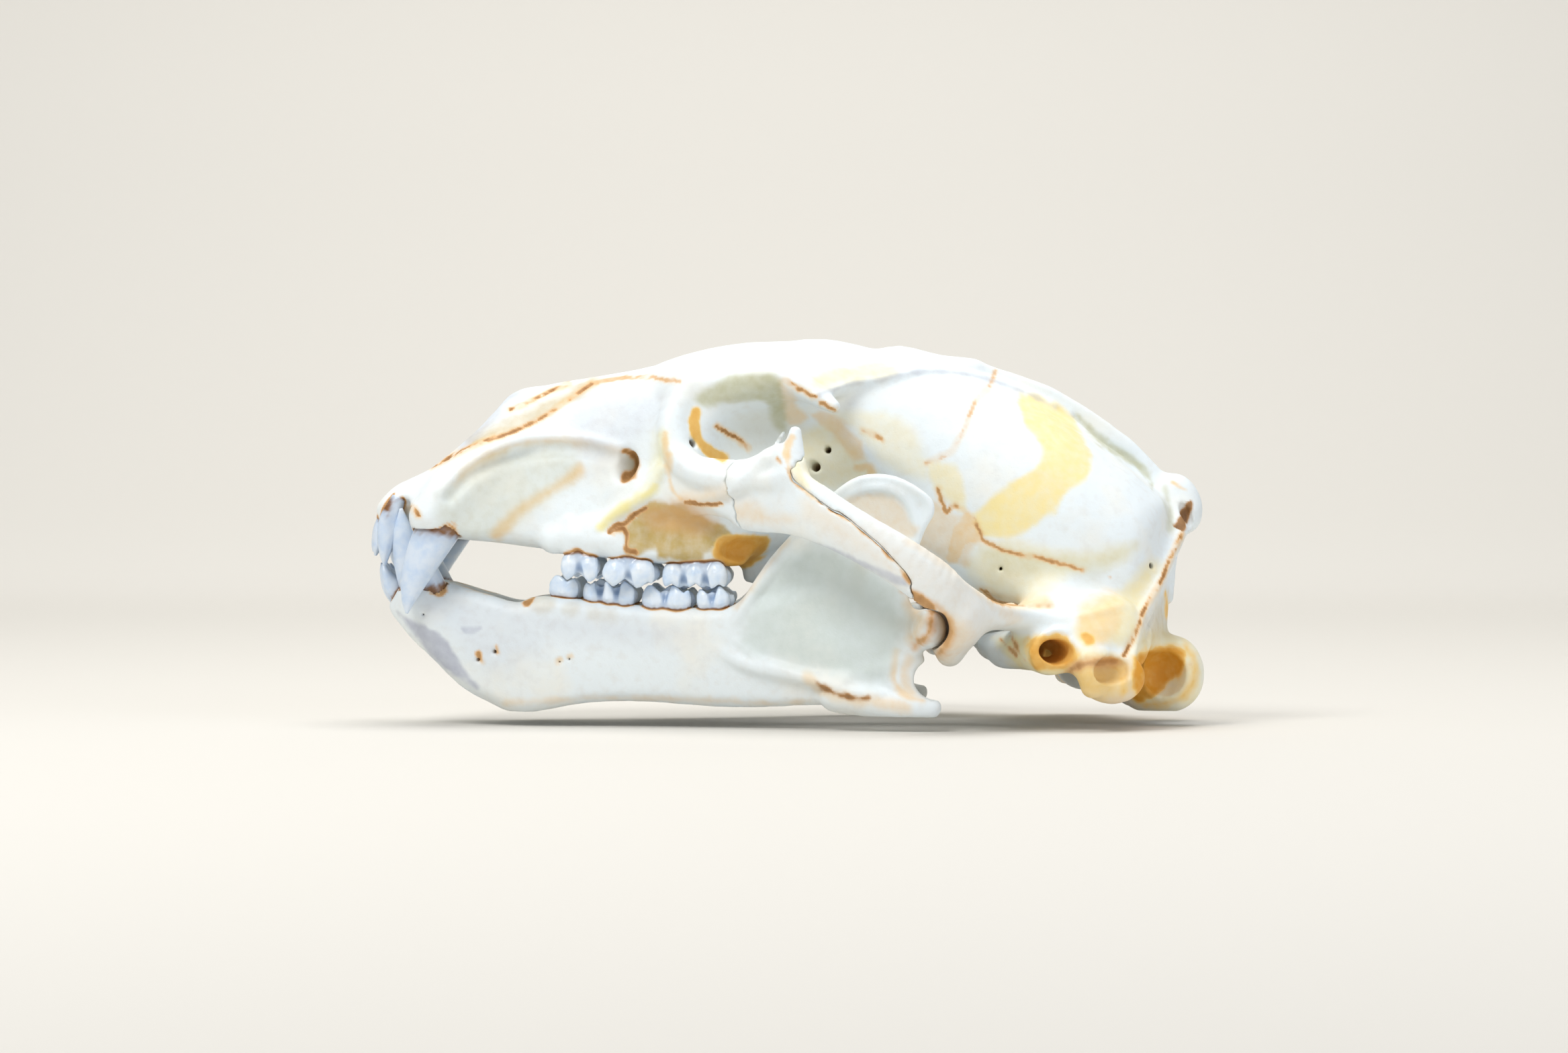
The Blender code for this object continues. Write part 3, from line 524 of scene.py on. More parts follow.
# %% Box, crest and brow of the cranium
def cranium_core(f):
    f.add(loft(FACE), 0)
    f.add(loft(BRAINCASE), 14)
    # Canine root bulge, and the thin bone of the upper jaw over the cheek tooth roots.
    f.add(strand([(-144, 33, 80), (-136, 32, 90), (-122, 29, 104), (-110, 26, 112)],
                 [(9, 9), (9, 9), (7, 7), (4, 4)]), 8)
    # Hollows of the cheek, the orbit and under the root of the arch.
    f.cut(ball((-94, 50, 100), (30, 15, 17), pitch=18), 10)
    f.cut(ball((-2, 60, 111), (34, 33, 24)), 8)
    f.cut(ball((-24, 63, 70), (34, 20, 16)), 6)
    f.cut(ball((20, 48, 84), (34, 24, 24)), 8)
    # Gum ridge over the cheek teeth.
    f.add(strand([(-94, 32, 70), (-82, 34.5, 71), (-62, 37.5, 69), (-36, 38.5, 67), (-19, 37, 66)],
                 [(5, 5), (6.5, 6.5), (8, 7), (8, 7), (6, 6)]), 5)
    # Roof over the orbits.
    f.add(ball((-10, 20, 137.5), (40, 26, 9.5), roll=-14), 8)
    # Brow, postorbital process and temporal line of the frontal bone.
    f.add(strand([(-44, 30, 132), (-24, 38, 134), (-6, 43, 136.5), (4, 45, 134), (13, 49, 129),
                  (20, 54, 124.5)],
                 [(6, 6), (6, 5.5), (7, 5), (7, 5), (5.5, 4.5), (3, 2.6)]), 6)
    f.add(strand([(16, 45, 129), (28, 29, 134), (48, 18.5, 138.6), (64, 9, 141), (78, 3, 141)],
                 [(3, 2.5), (2.5, 2), (2.2, 2), (2, 2), (2, 2)]), 5)
    # Occiput: back wall, sagittal crest, knob and nuchal crest.
    x, y, _ = np.ix_(*f.axes)
    wall = (x - OCCIPUT_X + OCCIPUT_CURVE * y * y) / np.sqrt(1 + (2 * OCCIPUT_CURVE * y) ** 2)
    f.d = -smooth_min(-f.d, -wall, 4)
    f.add(plate(CREST, lambda x, z: 0 * x * z, lambda x, z, depth: 2.0 + 0.16 * depth, 1.8), 10)
    f.add(ball((165.5, 0, 86), (8, 7, 12), pitch=-18), 6)
    f.add(strand([(166, 4, 80), (158, 22, 65), (148, 41, 47), (143, 51, 33), (139, 58, 24)],
                 [(4, 4), (3, 4), (3, 4.5), (3, 5), (3, 5)], up=(1, 0, 0)), 7)


# %% Arch, jaw joint and base of the cranium
def cranium_arch_and_base(f):
    # Rim of the orbit and the zygomatic arch with its frontal process.
    f.add(strand([(-40, 34, 131), (-45, 41, 118), (-43, 46, 105), (-32, 55, 97), (-16, 66, 97),
                  (-2, 77, 104)],
                 [(5, 6), (5, 6), (5, 6), (5, 5), (4.5, 5), (4, 5)]), 7)
    f.add(strand([(-66, 34, 88), (-46, 44, 90), (-29, 55, 91), (-12, 69, 87), (4, 82, 85), (18, 91, 78.3),
                  (31, 97, 71), (47, 100, 61.6), (59, 97, 53), (68, 89, 46), (79, 75, 41), (90, 62, 39.5),
                  (104, 54, 40)],
                 [(6, 10), (6, 11), (5, 12), (4.5, 13), (4.5, 12.5), (4.3, 10.5), (4.5, 9.5), (5, 9.5),
                  (6, 10),
                  (7, 9), (9, 6), (9, 5), (8, 5)]), 5)
    f.add(strand([(3, 82, 96), (4.5, 79, 113.5)], [(4, 6.5), (2.4, 2.6)], up=(1, 0, 0)), 5)
    # Block over the jaw joint with its hooked hind wall.
    f.add(ball((67, 68, 38), (12, 28, 13), yaw=-6), 6)
    f.add(strand([(66, 52, 30), (66, 70, 27), (64, 88, 31)], [(6, 7), (6, 7), (4, 5)], up=(0, 0, 1)), 4)
    # Shelf over the ear, ear drum bulge and tube, mastoid and paroccipital processes, condyles.
    f.add(strand([(92, 60, 40), (106, 62, 38), (120, 64, 34), (132, 62, 28)],
                 [(7, 4), (6, 4), (6, 4), (5, 4)]), 5)
    f.add(ball((97, 33, 25), (19, 14, 7), yaw=24, pitch=12), 7)
    f.add(strand([(90, 40, 26), (98, 54, 27), (106, 66, 25.5)], [(7, 7), (8, 8), (9, 9)]), 5)
    f.add(strand([(110, 46, 44), (119, 62, 30), (123, 72, 20), (123, 73, 12)],
                 [(12, 14), (10, 11), (8, 8), (4.5, 5)], up=(1, 0, 0)), 7)
    f.add(ball((129, 54, 32), (16, 13, 17)), 8)
    f.add(strand([(141, 36, 34), (139, 44, 22), (137, 49, 11)], [(9, 9), (6, 6), (3.5, 3.5)],
                 up=(1, 0, 0)), 7)
    f.add(ball((160, 21, 15.5), (13, 12, 15.5), yaw=-20), 6)
    f.add(ball((150, 17, 9.5), (12, 10, 10)), 6)
    # Pterygoid plates beside the hind opening of the nose.
    f.add(strand([(-14, 18, 62), (12, 17, 58), (34, 15, 48), (44, 15, 42)],
                 [(3, 9), (2.5, 11), (2.5, 11), (2, 7)]), 4)


# %% Openings of the cranium
def cranium_openings(f):
    # Nasal cavity, open in front, with its septum.
    f.cut(strand([(-180, 0, 109), (-152, 0, 109), (-120, 0, 110), (-96, 0, 108)],
                 [(17, 14), (18, 16), (17, 19), (9, 12)]), 3)
    f.add(strand([(-116, 0, 104), (-90, 0, 104)], [(1.6, 22), (1.6, 22)]), 2)
    # Notch for the lower canine, infraorbital foramen and palate.
    f.cut(strand(LOWER_CANINE[2:], [(8, 9), (8, 9), (7, 7.5), (4.5, 5)]), 2)
    f.cut(strand([(-80, 52, 99), (-68, 42, 101), (-54, 30, 100)], [(4, 7), (4, 6.5), (3, 5)]), 3)
    f.cut(ball((-86, 0, 53), (84, 25, 17)), 4)
    f.cut(strand([(76, 0, 34), (44, 0, 52), (14, 0, 66), (-4, 0, 74)],
                 [(11, 8), (11, 9), (11, 8), (6, 4)]), 3)
    # Jaw joint, foramen magnum, ear hole and the hollow beside the condyle.
    f.cut(strand([(56.5, 44, 37), (57.5, 68, 35.5), (57, 96, 36)], [(7, 8), (8, 8.6), (7.5, 8)],
                 up=(0, 0, 1)), 1)
    f.cut(strand([(178, 0, 30), (160, 0, 31), (132, 0, 36)], [(13, 12), (13, 12), (9, 9)]), 3)
    f.cut(strand([(110, 82, 26), (107, 66, 26), (98, 48, 26)], [(6, 5), (5.5, 4.5), (3, 3)]), 2)
    f.cut(ball((154, 42, 17), (8, 9, 9)), 3)


# %% [markdown]
# Fine forms of the cranium
#
# These are too small for the solids. Two thin scrolls fill each side of the nose, where the living bear
# warmed its breath; nerves and vessels leave small round holes in the orbit, the cheek and the palate.

# %% Scrolls in the nose, small holes and slots
SCROLL_MIDDLES = ((8.5, 99), (7.5, 116))  # y and z
SCROLL_RADIUS = 9.5
SCROLL_X = (-114, -88)
SCROLL_PITCH = 4.2
SCROLL_SHEET = 1.2
ROOTS = ((-87, 36), (-79, 37.5), (-68, 40), (-58, 42), (-44, 43.5), (-32, 43))  # x and y
SMALL_HOLES = [  # from, to, radius
    ((17, 34, 108), (20, 22, 106), 1.6),
    ((12, 30, 101), (16, 20, 99), 2.2),
    ((24, 30, 92), (28, 20, 90), 2.0),
    ((-34, 50, 110), (-42, 38, 109), 2.0),
    ((-86, 50, 115), (-84, 28, 113), 1.0),
    ((88, 52, 59), (88, 38, 59), 1.0),
    ((151, 42, 60), (146, 28, 60), 1.4),
    ((-24, 80, 78), (-24, 60, 78), 1.1),
    ((-60, 20, 60), (-56, 20, 74), 1.8),
    ((-40, 17, 60), (-36, 17, 74), 1.3),
]


def scroll(middle_y, middle_z, radius, x0, x1):
    """A sheet rolled round an axis along X, its front edge aslant."""
    def distance(x, y, z):
        r = np.hypot(y - middle_y, z - middle_z)
        turns = np.arctan2(z - middle_z, y - middle_y) / (2 * np.pi)
        sheet = np.abs((r / SCROLL_PITCH - turns) % 1 - 0.5) * SCROLL_PITCH - SCROLL_SHEET / 2
        return np.maximum(np.maximum(sheet, r - radius), np.maximum(x0 + 0.4 * (z - middle_z) - x, x - x1))

    low = np.array([x0 - 8, middle_y - radius, middle_z - radius])
    high = np.array([x1, middle_y + radius, middle_z + radius])
    return distance, low, high


# Edges that the side view shows: form, radius, blend, depth range, depth sunk in, pixels.
CRANIUM_EDGES = {
    "neck crest": (ridge, 2.0, 1.5, ANY, 0,
        "1762,790 1739,837 1718,882 1701,911 1693,936 1683,985 1681,1015"),
    "groove behind the neck crest": (groove, 1.6, 2.5, ANY, 0,
        "1768,800 1748,842 1730,880 1716,915 1706,950"),
    "temporal line": (ridge, 1.3, 2.5, ANY, 0,
        "1212,590 1260,573 1300,567 1340,559 1381,554 1445,560 1514,580 1568,606"),
    "rim of the cheek's hollow": (ridge, 2.0, 3, ANY, 0.6,
        "655,735 675,712 708,687 746,667 787,655 828,652 882,657 920,667"),
    "bed of the cheek's hollow": (groove, 2.2, 4, ANY, 0,
        "668,742 700,708 746,684 800,672 860,672 905,682"),
    "lip of the arch's front root": (ridge, 2.0, 2.5, ANY, 0.4,
        "985,700 968,730 945,748 915,766 890,790"),
    "groove over the arch's root": (groove, 1.8, 2, ANY, 0,
        "1461,884 1482,897 1523,902 1565,904"),
    "root of the arch": (ridge, 1.8, 3, ANY, 0.5,
        "1420,862 1461,893 1490,909 1540,915 1600,922 1668,905"),
    "groove beside the crest": (groove, 1.2, 2.5, ANY, 0,
        "1600,620 1640,655 1690,690 1716,725"),
    "lower rim of the orbit": (ridge, 1.8, 3, (50, 120), 0.6,
        "1010,745 1050,742 1090,730 1120,705 1150,672 1165,645"),
}


def cranium_details(f):
    for middle_y, middle_z in SCROLL_MIDDLES:
        f.add(scroll(middle_y, middle_z, SCROLL_RADIUS, *SCROLL_X), 0.6)
    for start, end, radius in SMALL_HOLES:
        f.cut(strand([start, end], [radius, radius * 0.8], steps=1), 0.8)
    # Two slots in the palate behind the incisors.
    f.cut(strand([(-154, 6.5, 68), (-142, 7.5, 66)], [(3, 9), (2.6, 9)]), 1.5)
    # Deep hollow under the front root of the arch, and the opening behind the last tooth.
    f.cut(ball((-46, 56.5, 73), (27, 12, 11.5), yaw=14), 3)
    f.cut(ball((-14, 47, 66), (12, 13, 6.5)), 2)
    # Crisp lip of the hole below the orbit.
    f.cut(strand([(-72, 50, 100.5), (-66, 41, 101), (-58, 33, 100)], [(4.6, 7.4), (4.2, 6.6), (3, 5)]), 0.8)
    # Hollow in front of the condyle, and the ring round the ear hole.
    f.cut(ball((155.5, 36, 15.5), (10, 13, 10.5), yaw=-12), 0.8)
    # Shell-shaped hollow between the mastoid and the process behind it.
    f.add(ball((131, 67, 16), (13, 7, 11)), 3)
    f.cut(ball((131, 76, 18.5), (9, 7.5, 5.5), roll=-10), 1.2)
    # Pit on each side of the knob.
    f.cut(ball((167, 8.5, 80), (2.6, 3.5, 6.5), pitch=-18), 0.8)
    # Raised rim round the front of the orbit, with a groove before it.
    f.add(strand([(-39, 37, 133), (-46, 43.5, 120), (-45, 48.5, 107), (-36, 57, 97.5), (-20, 68, 94),
                  (-4, 80, 94)],
                 [3, 3.8, 4, 4, 3.6, 3]), 4)
    f.cut(strand([(-54, 44, 130), (-60, 46, 117), (-60, 48, 104), (-55, 52, 95)], [3, 4, 4, 3]), 7)
    f.add(strand([(99, 71, 26), (104, 71.5, 33), (112, 70, 34), (116, 69, 27), (111, 69, 19.5),
                  (103, 70, 19.5),
                  (99, 71, 26)], [1.6, 1.6, 1.6, 1.6, 1.6, 1.6, 1.6], up=(0, 1, 0)), 1.5)
    f.cut(strand([(108, 84, 26.5), (106, 60, 26.5), (100, 48, 27)], [(6, 4.6), (5.4, 4), (3, 3)],
                 up=(0, 0, 1)), 1)
    # Ridge that runs from the root of the arch down to the gum, and the rim behind the big cheek hole.
    f.add(strand([(-79, 36.5, 75), (-67, 39.5, 82), (-56, 43, 91), (-49, 45, 99)], [2.2, 3, 3, 2.5]), 4)
    # Roots of the cheek teeth under thin bone.
    for x, y in ROOTS:
        f.add(strand([(x, y, 66), (x - 0.5, y - 1, 78)], [2.6, 1.6]), 3)
    for shape, radius, blend, reach, sink, pixels in CRANIUM_EDGES.values():
        shape(f, pixels, radius, blend, reach, sink)
    # Midline ridge of the occiput.
    f.add(strand([(165, 0, 80), (162, 0, 60), (161, 0, 46)], [2, 1.6, 1.2], up=(1, 0, 0)), 4)


# %% [markdown]
# The sutures of the cheek bone
#
# The jugal is a bone of its own: it meets the upper jaw in a slanting joint in front and the long process
# of the temporal bone behind. The solids leave 0.3 mm there, and so does the fine surface: the same field
# is read twice, once inside the joints' outline and once outside it. A small wave makes the joint wander
# as a real suture does.

# %% Cranium and jugals apart
CRANIUM_BOX = ((-174, 0, -4), (180, 112, 160))
GAP = 0.3
JUGAL_FRONT = [(31, 122), (33, 104), (36, 84), (38, 62)]
JUGAL_FRONT_LEAN = -0.83
JUGAL_BACK = [(16, 107), (6, 102), (2.6, 96), (8, 90.5), (22.4, 80.6), (35, 71.4), (42.5, 64), (49, 55.5),
              (50.5, 40)]
JUGAL_REST = [(30, 30), (-60, 60), (-60, 125), (10, 125)]  # closes the outline clear of the bone
JUGAL_INNER_Y = 48.0
SUTURE_WAVE = 0.45
SUTURE_LENGTH = 5.0


def jugal_side(f):
    """Distance to the space that the jugal takes, negative inside."""
    x, y, z = np.ix_(*f.axes)
    outline = np.vstack([smooth_path(JUGAL_BACK, 4), JUGAL_REST])
    sway = SUTURE_WAVE * np.sin(2 * np.pi * (x + z) / SUTURE_LENGTH)
    px, pz = np.meshgrid(f.axes[0], f.axes[2], indexing="ij")
    back = outline_distance(outline, px, pz)[:, None, :] + sway
    levels, places = zip(*sorted((b, a) for a, b in JUGAL_FRONT))
    front = np.interp(z.ravel(), levels, places)[None, None, :] + JUGAL_FRONT_LEAN * y - x
    front = front / math.hypot(1, JUGAL_FRONT_LEAN) + SUTURE_WAVE * np.sin(2 * np.pi * z / SUTURE_LENGTH)
    return np.maximum(np.maximum(back, front), JUGAL_INNER_Y - y).astype(np.float32)


def make_bone_fields():
    cranium = Field(*CRANIUM_BOX, STEP)
    cranium_core(cranium)
    cranium_arch_and_base(cranium)
    cranium_openings(cranium)
    cranium_details(cranium)
    cranium.cut(strand(UPPER_CANINE, [(a + SOCKET, b + SOCKET) for a, b in UPPER_CANINE_R]), 0.6)
    z = cranium.axes[2][None, None, :]
    cranium.d = np.maximum(cranium.d, -z)
    jugal, side = cranium.copy(), jugal_side(cranium)
    jugal.d = np.maximum(jugal.d, side + GAP / 2)
    cranium.d = np.maximum(cranium.d, GAP / 2 - side)
    return cranium, jugal


# %% [markdown]
# The lower jaw
#
# Each half is a long plate on edge that rises behind into a thin, wide blade, with the roller of the jaw
# joint low on its hind edge. The blade is thickest at its rim, which catches the light, and the outer
# face under it is hollow, where the chewing muscle sat.

# %% Mandible
JAW_BOX = ((-174, -3.2, -4), (72, 100, 102))
JAW_BODY = [
    (-163, 44), (-157, 34), (-147, 24), (-134, 11), (-122, 4), (-108, -0.6), (-80, 4), (-55, 4.5),
    (-20, 2.5),
    (10, 4), (30, 4), (44, -0.4), (56, -0.4), (60, 4), (50, 12), (44, 18), (48, 30), (20, 50), (-10, 46),
    (-28, 43),
    (-60, 44), (-98, 47.5), (-110, 45), (-125, 49), (-140, 53), (-152, 51),
]
RAMUS = [
    (-24, 30), (-19, 42), (-8, 60), (4, 74), (18, 88), (30, 96), (44, 96), (57, 89), (60, 82), (56, 74),
    (52, 64),
    (49, 54), (51, 44), (58, 36), (50, 22), (20, 14), (-10, 14),
]
JAW_LINE = [(-170, 9), (-150, 13), (-125, 17), (-100, 26), (-60, 34), (-20, 44), (15, 57), (45, 67),
            (70, 72)]
JAW_THICK = [(-170, 8), (-150, 11), (-130, 11), (-105, 9), (-80, 7.5), (-30, 7), (0, 6), (30, 4.5),
             (60, 3.5)]
JAW_HOLES = [((-127, 34, 20.6), (-125, 24, 21.6), 1.2), ((-120, 34, 24), (-118, 25, 25), 1.1),
             ((-93.5, 42, 20.4), (-91, 32, 21), 0.8), ((-89.6, 42, 21.6), (-87, 33, 22), 0.8),
             ((-148.7, 30, 39.8), (-146, 22, 40), 0.6), ((20, 47, 42), (14, 54.5, 38), 2.6)]


def jaw_middle(x, z):
    return profile(JAW_LINE, x) + 0.05 * (z - 40)


def jaw_half(x, z, depth):
    return profile(JAW_THICK, x) * (0.82 + 0.18 * np.cos((z - 25) / 14))


# Edges that the side view shows: form, radius, blend, depth range, depth sunk in, pixels.
JAW_EDGES = {
    "rim of the coronoid process": (ridge, 2.0, 2, ANY, 0.2,
        "1255,752 1268,735 1291,727 1320,727 1345,740 1360,765 1363,790"),
    "front edge of the blade": (ridge, 2.0, 2.5, ANY, 0.4,
        "1095,925 1110,900 1140,860 1171,822 1205,785 1240,758"),
    "edge of the muscle's hollow": (ridge, 1.8, 2.5, ANY, 0.4,
        "1098,955 1130,985 1170,1000 1215,1015 1262,1030 1310,1034"),
}


def make_jaw_field():
    f = Field(*JAW_BOX, STEP)
    f.add(plate(JAW_BODY, jaw_middle, jaw_half, 5.5), 0)
    f.add(plate(RAMUS, jaw_middle, lambda x, z, d: 2.4 + 2.6 * np.exp(-((d / 5) ** 2)), 2.4), 5)
    # Canine bulge, symphysis, joint roller and angular process.
    f.add(strand([(-150, 19, 46), (-142, 19, 36), (-128, 17, 24)], [(9.5, 9.5), (9.5, 9.5), (7, 7)]), 6)
    f.add(ball((-133.5, 4, 32.5), (24, 14, 13.5), pitch=35), 8)
    f.add(strand([(57, 52, 38), (57.5, 66, 35.5), (57.5, 80, 35.5), (57.5, 86, 36)],
                 [(4, 5), (7, 7.5), (6.6, 7.2), (3.5, 4.5)]), 4)
    f.add(strand([(24, 63, 8), (44, 70, 4), (58, 73, 3)], [(5, 5), (4, 4.4), (2.6, 3.2)]), 8)
    # Notch under the joint, hooked tip of the angular process, and the lip under the muscle's hollow.
    f.add(ball((49, 69, 17), (9, 3.4, 10)), 3)
    f.add(strand([(20, 60.5, 7), (36, 66.5, 5), (50, 70.5, 4), (60, 73, 4.6)],
                 [(5, 5), (4.4, 4.6), (3.6, 4), (1.8, 2.2)]), 3)
    f.cut(strand([(60.5, 40, 15.2), (60.5, 100, 15.2)], [(8.8, 8), (8.8, 8)], up=(0, 0, 1)), 1.5)
    f.add(strand([(-26, 46, 26), (-14, 52, 20), (4, 58, 16), (24, 65, 14)], [2, 2.4, 2.4, 2]), 3)
    # Hollow of the chewing muscle, small holes, socket, and the faces at the middle and on the ground.
    f.cut(ball((22, 74, 44), (33, 11.5, 25), yaw=18), 2.5)
    for start, end, radius in JAW_HOLES:
        f.cut(strand([start, end], [radius, radius * 0.8], steps=1), 0.8)
    f.cut(strand(LOWER_CANINE, [(a + SOCKET, b + SOCKET) for a, b in LOWER_CANINE_R]), 0.6)
    f.cut(strand(UPPER_CANINE[3:], [(a + 2 * GAP, b + 2 * GAP) for a, b in UPPER_CANINE_R[3:]]), 0.6)
    for shape, radius, blend, reach, sink, pixels in JAW_EDGES.values():
        shape(f, pixels, radius, blend, reach, sink)
    _, y, z = np.ix_(*f.axes)
    f.d = np.maximum(f.d, np.maximum(GAP / 2 - y, -z))
    return f

# %% [markdown]
# The cheek teeth
#
# A bear's cheek teeth are low and blunt, with swollen cusps in two rows round a shallow basin. Each crown
# is grown in its own small field, turned to follow the jaw: a body, a lobe for each cusp, and a biting
# face that steps up and down so that upper and lower cusps fall between each other.

# %% Named sizes of the teeth
# Cheek teeth: x centre, y centre, length, width, number of cusps along the outer side.
UPPER_CHEEK = {
    "premolar_upper_4": (-82.8, 35, 17.2, 11.5, 2),
    "molar_upper_1": (-62.5, 37.8, 23.2, 15, 2),
    "molar_upper_2": (-35.6, 38.6, 30.4, 15.5, 3),
}
LOWER_CHEEK = {
    "premolar_lower_4": (-89.7, 27, 13.6, 8, 1),
    "molar_lower_1": (-70.9, 31, 23.8, 10, 3),
    "molar_lower_2": (-47.3, 35.5, 23, 12.5, 2),
    "molar_lower_3": (-28.2, 40, 15, 11.5, 2),
}
UPPER_GUM = [(-95, 64.5), (-82, 63.5), (-62, 61), (-36, 59.5), (-18, 60)]
LOWER_GUM = [(-98, 47.5), (-88, 46), (-70, 44), (-48, 41.5), (-28, 42.5), (-18, 44)]
BITE = [(-100, 56), (-84, 55), (-72, 53.4), (-58, 51.8), (-40, 51), (-18, 50.4)]
BITE_WAVE = 1.9
BITE_WAVE_LENGTH = 9.6
CUSP_ROW = 0.42  # how far out the rows of cusps stand, as a share of half the width
CROWN_POWER = 2.6  # squareness of a crown seen from the bite
CROWN_GIRTH = [(-1.6, 0.46), (-0.8, 0.56), (-0.15, 0.7), (0.2, 0.78), (0.7, 0.62), (1.1, 0.4)]  # by height
ROOT_DEPTH = 6.5  # how far a crown goes on inside the jaw
ENAMEL_WRINKLE = 0.12


# %% Cheek tooth
def bite_level(x, y):
    """Height of the face between upper and lower teeth, stepped from cusp to cusp."""
    wave = np.arcsin(np.sin(2 * np.pi * x / BITE_WAVE_LENGTH)) * 2 / np.pi
    return profile(BITE, x) + BITE_WAVE * wave


def cheek_tooth(size, gum, up, yaw, seed):
    """Points and quads of one crown with its neck sunk in the jaw, and its masks."""
    x0, y0, length, width, cusps = size
    a, b = length / 2, width / 2
    cos, sin = math.cos(math.radians(yaw)), math.sin(math.radians(yaw))
    neck = float(profile(gum, x0))
    tall = abs(float(profile(BITE, x0)) - neck)
    f = Field((-a - 2, -b - 2, neck - 10), (a + 2, b + 2, neck + 10), TOOTH_STEP)
    u, v, w = np.ix_(*f.axes)
    x, y = x0 + u * cos - v * sin, y0 + u * sin + v * cos
    rise = up * (w - profile(gum, x)) / tall
    girth = profile(CROWN_GIRTH, rise)
    oval = ((np.abs(u) / a) ** CROWN_POWER + (np.abs(v) / b) ** CROWN_POWER) ** (1 / CROWN_POWER)
    f.d = ((oval - girth) * b * 0.9 + 0 * w).astype(np.float32)
    rng = np.random.default_rng(seed)
    middle_w = neck + up * 0.46 * tall
    for row, lobes, out in ((CUSP_ROW, cusps, 1), (-CUSP_ROW, max(1, cusps - 1), -1)):
        for k in range(lobes):
            along = (2 * (k + 0.5) / lobes - 1) * a * 0.86
            swell = rng.uniform(0.92, 1.08)
            radii = (0.98 * a / lobes * swell, 0.56 * b, tall * (0.72 if out > 0 else 0.64))
            f.add(ball((along, row * b, middle_w), radii), 0.7)
            # A ridge runs up each cusp, with a small shoulder on either side of it.
            top = (along, (row + 0.1 * out) * b, neck + up * tall * 1.1)
            f.add(strand([(along, (row + 0.5 * out) * b, neck + up * tall * 0.3), top], [0.9, 1.1]), 1.2)
    f.cut(ball((0, 0, neck + up * tall * 1.05), (0.72 * a, 0.24 * b, 0.34 * tall)), 1.4)
    for k in range(1, cusps):
        along = (2 * k / cusps - 1) * a * 0.9
        valley = [(along, b * 1.1, neck + up * tall * 0.15), (along, 0.45 * b, neck + up * tall * 1.15)]
        f.cut(strand(valley, [0.8, 2.3]), 0.9)
    limit = up * (w - bite_level(x, y)) + 0.5 * GAP
    f.d = -smooth_min(-f.d, -limit, 1.3)
    f.d = -smooth_min(-f.d, up * (w - profile(gum, x)) + ROOT_DEPTH, 1.0)
    points, quads = f.surface(False)
    hollow = recess(f, points, False, 2.5)
    points = relaxed(points, quads, 2)
    placed = np.stack([x0 + points[:, 0] * cos - points[:, 1] * sin,
                       y0 + points[:, 0] * sin + points[:, 1] * cos,
                       points[:, 2]], axis=1)
    return placed, quads, {"hollow": hollow}


# %% [markdown]
# Canines and incisors
#
# A canine is a curved cone, a little flattened from side to side, so rings of points are set across its
# axis and skinned. The incisors are chisels with a lobe at each side; the third one is like a small canine.

# %% Rings of points along a path
KEELS = ((-0.5, 0.05), (2.6, 0.04))  # angle round the tooth in radians, and height as a share of its radius
KEEL_SHARPNESS = 0.01


def ringed(points, radii, sides, steps):
    """Points and quads of a body round a path, its two ends drawn to a point."""
    path = smooth_path(points, steps)
    spread = smooth_path(radii, steps)
    rings = []
    for p, way, (a, b) in zip(path, np.gradient(path, axis=0), spread):
        way = way / np.linalg.norm(way)
        across = np.cross(way, (1, 0, 0))
        across /= np.linalg.norm(across)
        front = np.cross(across, way)
        t = 2 * np.pi * np.arange(sides) / sides
        keel = 1.0
        for angle, height in KEELS:
            keel = keel + height * np.exp(-((np.cos(t - angle) - 1) ** 2) / KEEL_SHARPNESS)
        rings.append(p + across * (a * np.cos(t) * keel)[:, None] + front * (b * np.sin(t) * keel)[:, None])
    rings = [rings[0] * 0.02 + rings[0].mean(0) * 0.98, *rings, rings[-1] * 0.02 + rings[-1].mean(0) * 0.98]
    quads = []
    for r in range(len(rings) - 1):
        for i in range(sides):
            j = (i + 1) % sides
            quads.append((r * sides + i, r * sides + j, (r + 1) * sides + j, (r + 1) * sides + i))
    points, quads = np.vstack(rings), np.array(quads)
    a, b, c = (points[quads[:, i]] for i in (0, 1, 2))
    if np.einsum("ij,ij->i", a, np.cross(b, c)).sum() < 0:
        quads = quads[:, ::-1]
    return points, quads


# Incisors: base and tip of the crown axis, half widths across and front to back at the gum.
UPPER_INCISORS = [((-164, 4.6, 80), (-170.6, 4.4, 65.5), 3.6, 3.8),
                  ((-163.4, 12.2, 80), (-169, 12.4, 64), 3.7, 4),
                  ((-162, 19.6, 80), (-164.4, 20.4, 59.6), 3.8, 4.2)]
LOWER_INCISORS = [((-161.5, 3.3, 47), (-167.4, 3, 61), 2.5, 3.4),
                  ((-160.5, 8.9, 47.5), (-166.8, 8.6, 61), 2.7, 3.6),
                  ((-159.5, 14, 48), (-165.6, 14, 60.5), 2.4, 3.4)]


SMOOTH_FACE = 0.5  # neither hollow nor ridge


def incisor(base, tip, a, b):
    base, tip = np.array(base), np.array(tip)
    way = tip - base
    path = [base - way * 0.4 + (2.5, 0, 0), base, base + way * 0.35 - (0.6, 0, 0),
            base + way * 0.75 - (0.5, 0, 0), tip]
    radii = [(a * 0.7, b * 0.7), (a, b), (a * 1.12, b), (a, b * 0.55), (a * 0.35, 0.5)]
    points, quads = ringed(path, radii, sides=28, steps=8)
    return points, quads, {"hollow": np.full(len(points), SMOOTH_FACE)}


def canine(path, radii):
    points, quads = ringed(path, radii, sides=44, steps=14)
    return points, quads, {"hollow": np.full(len(points), SMOOTH_FACE)}
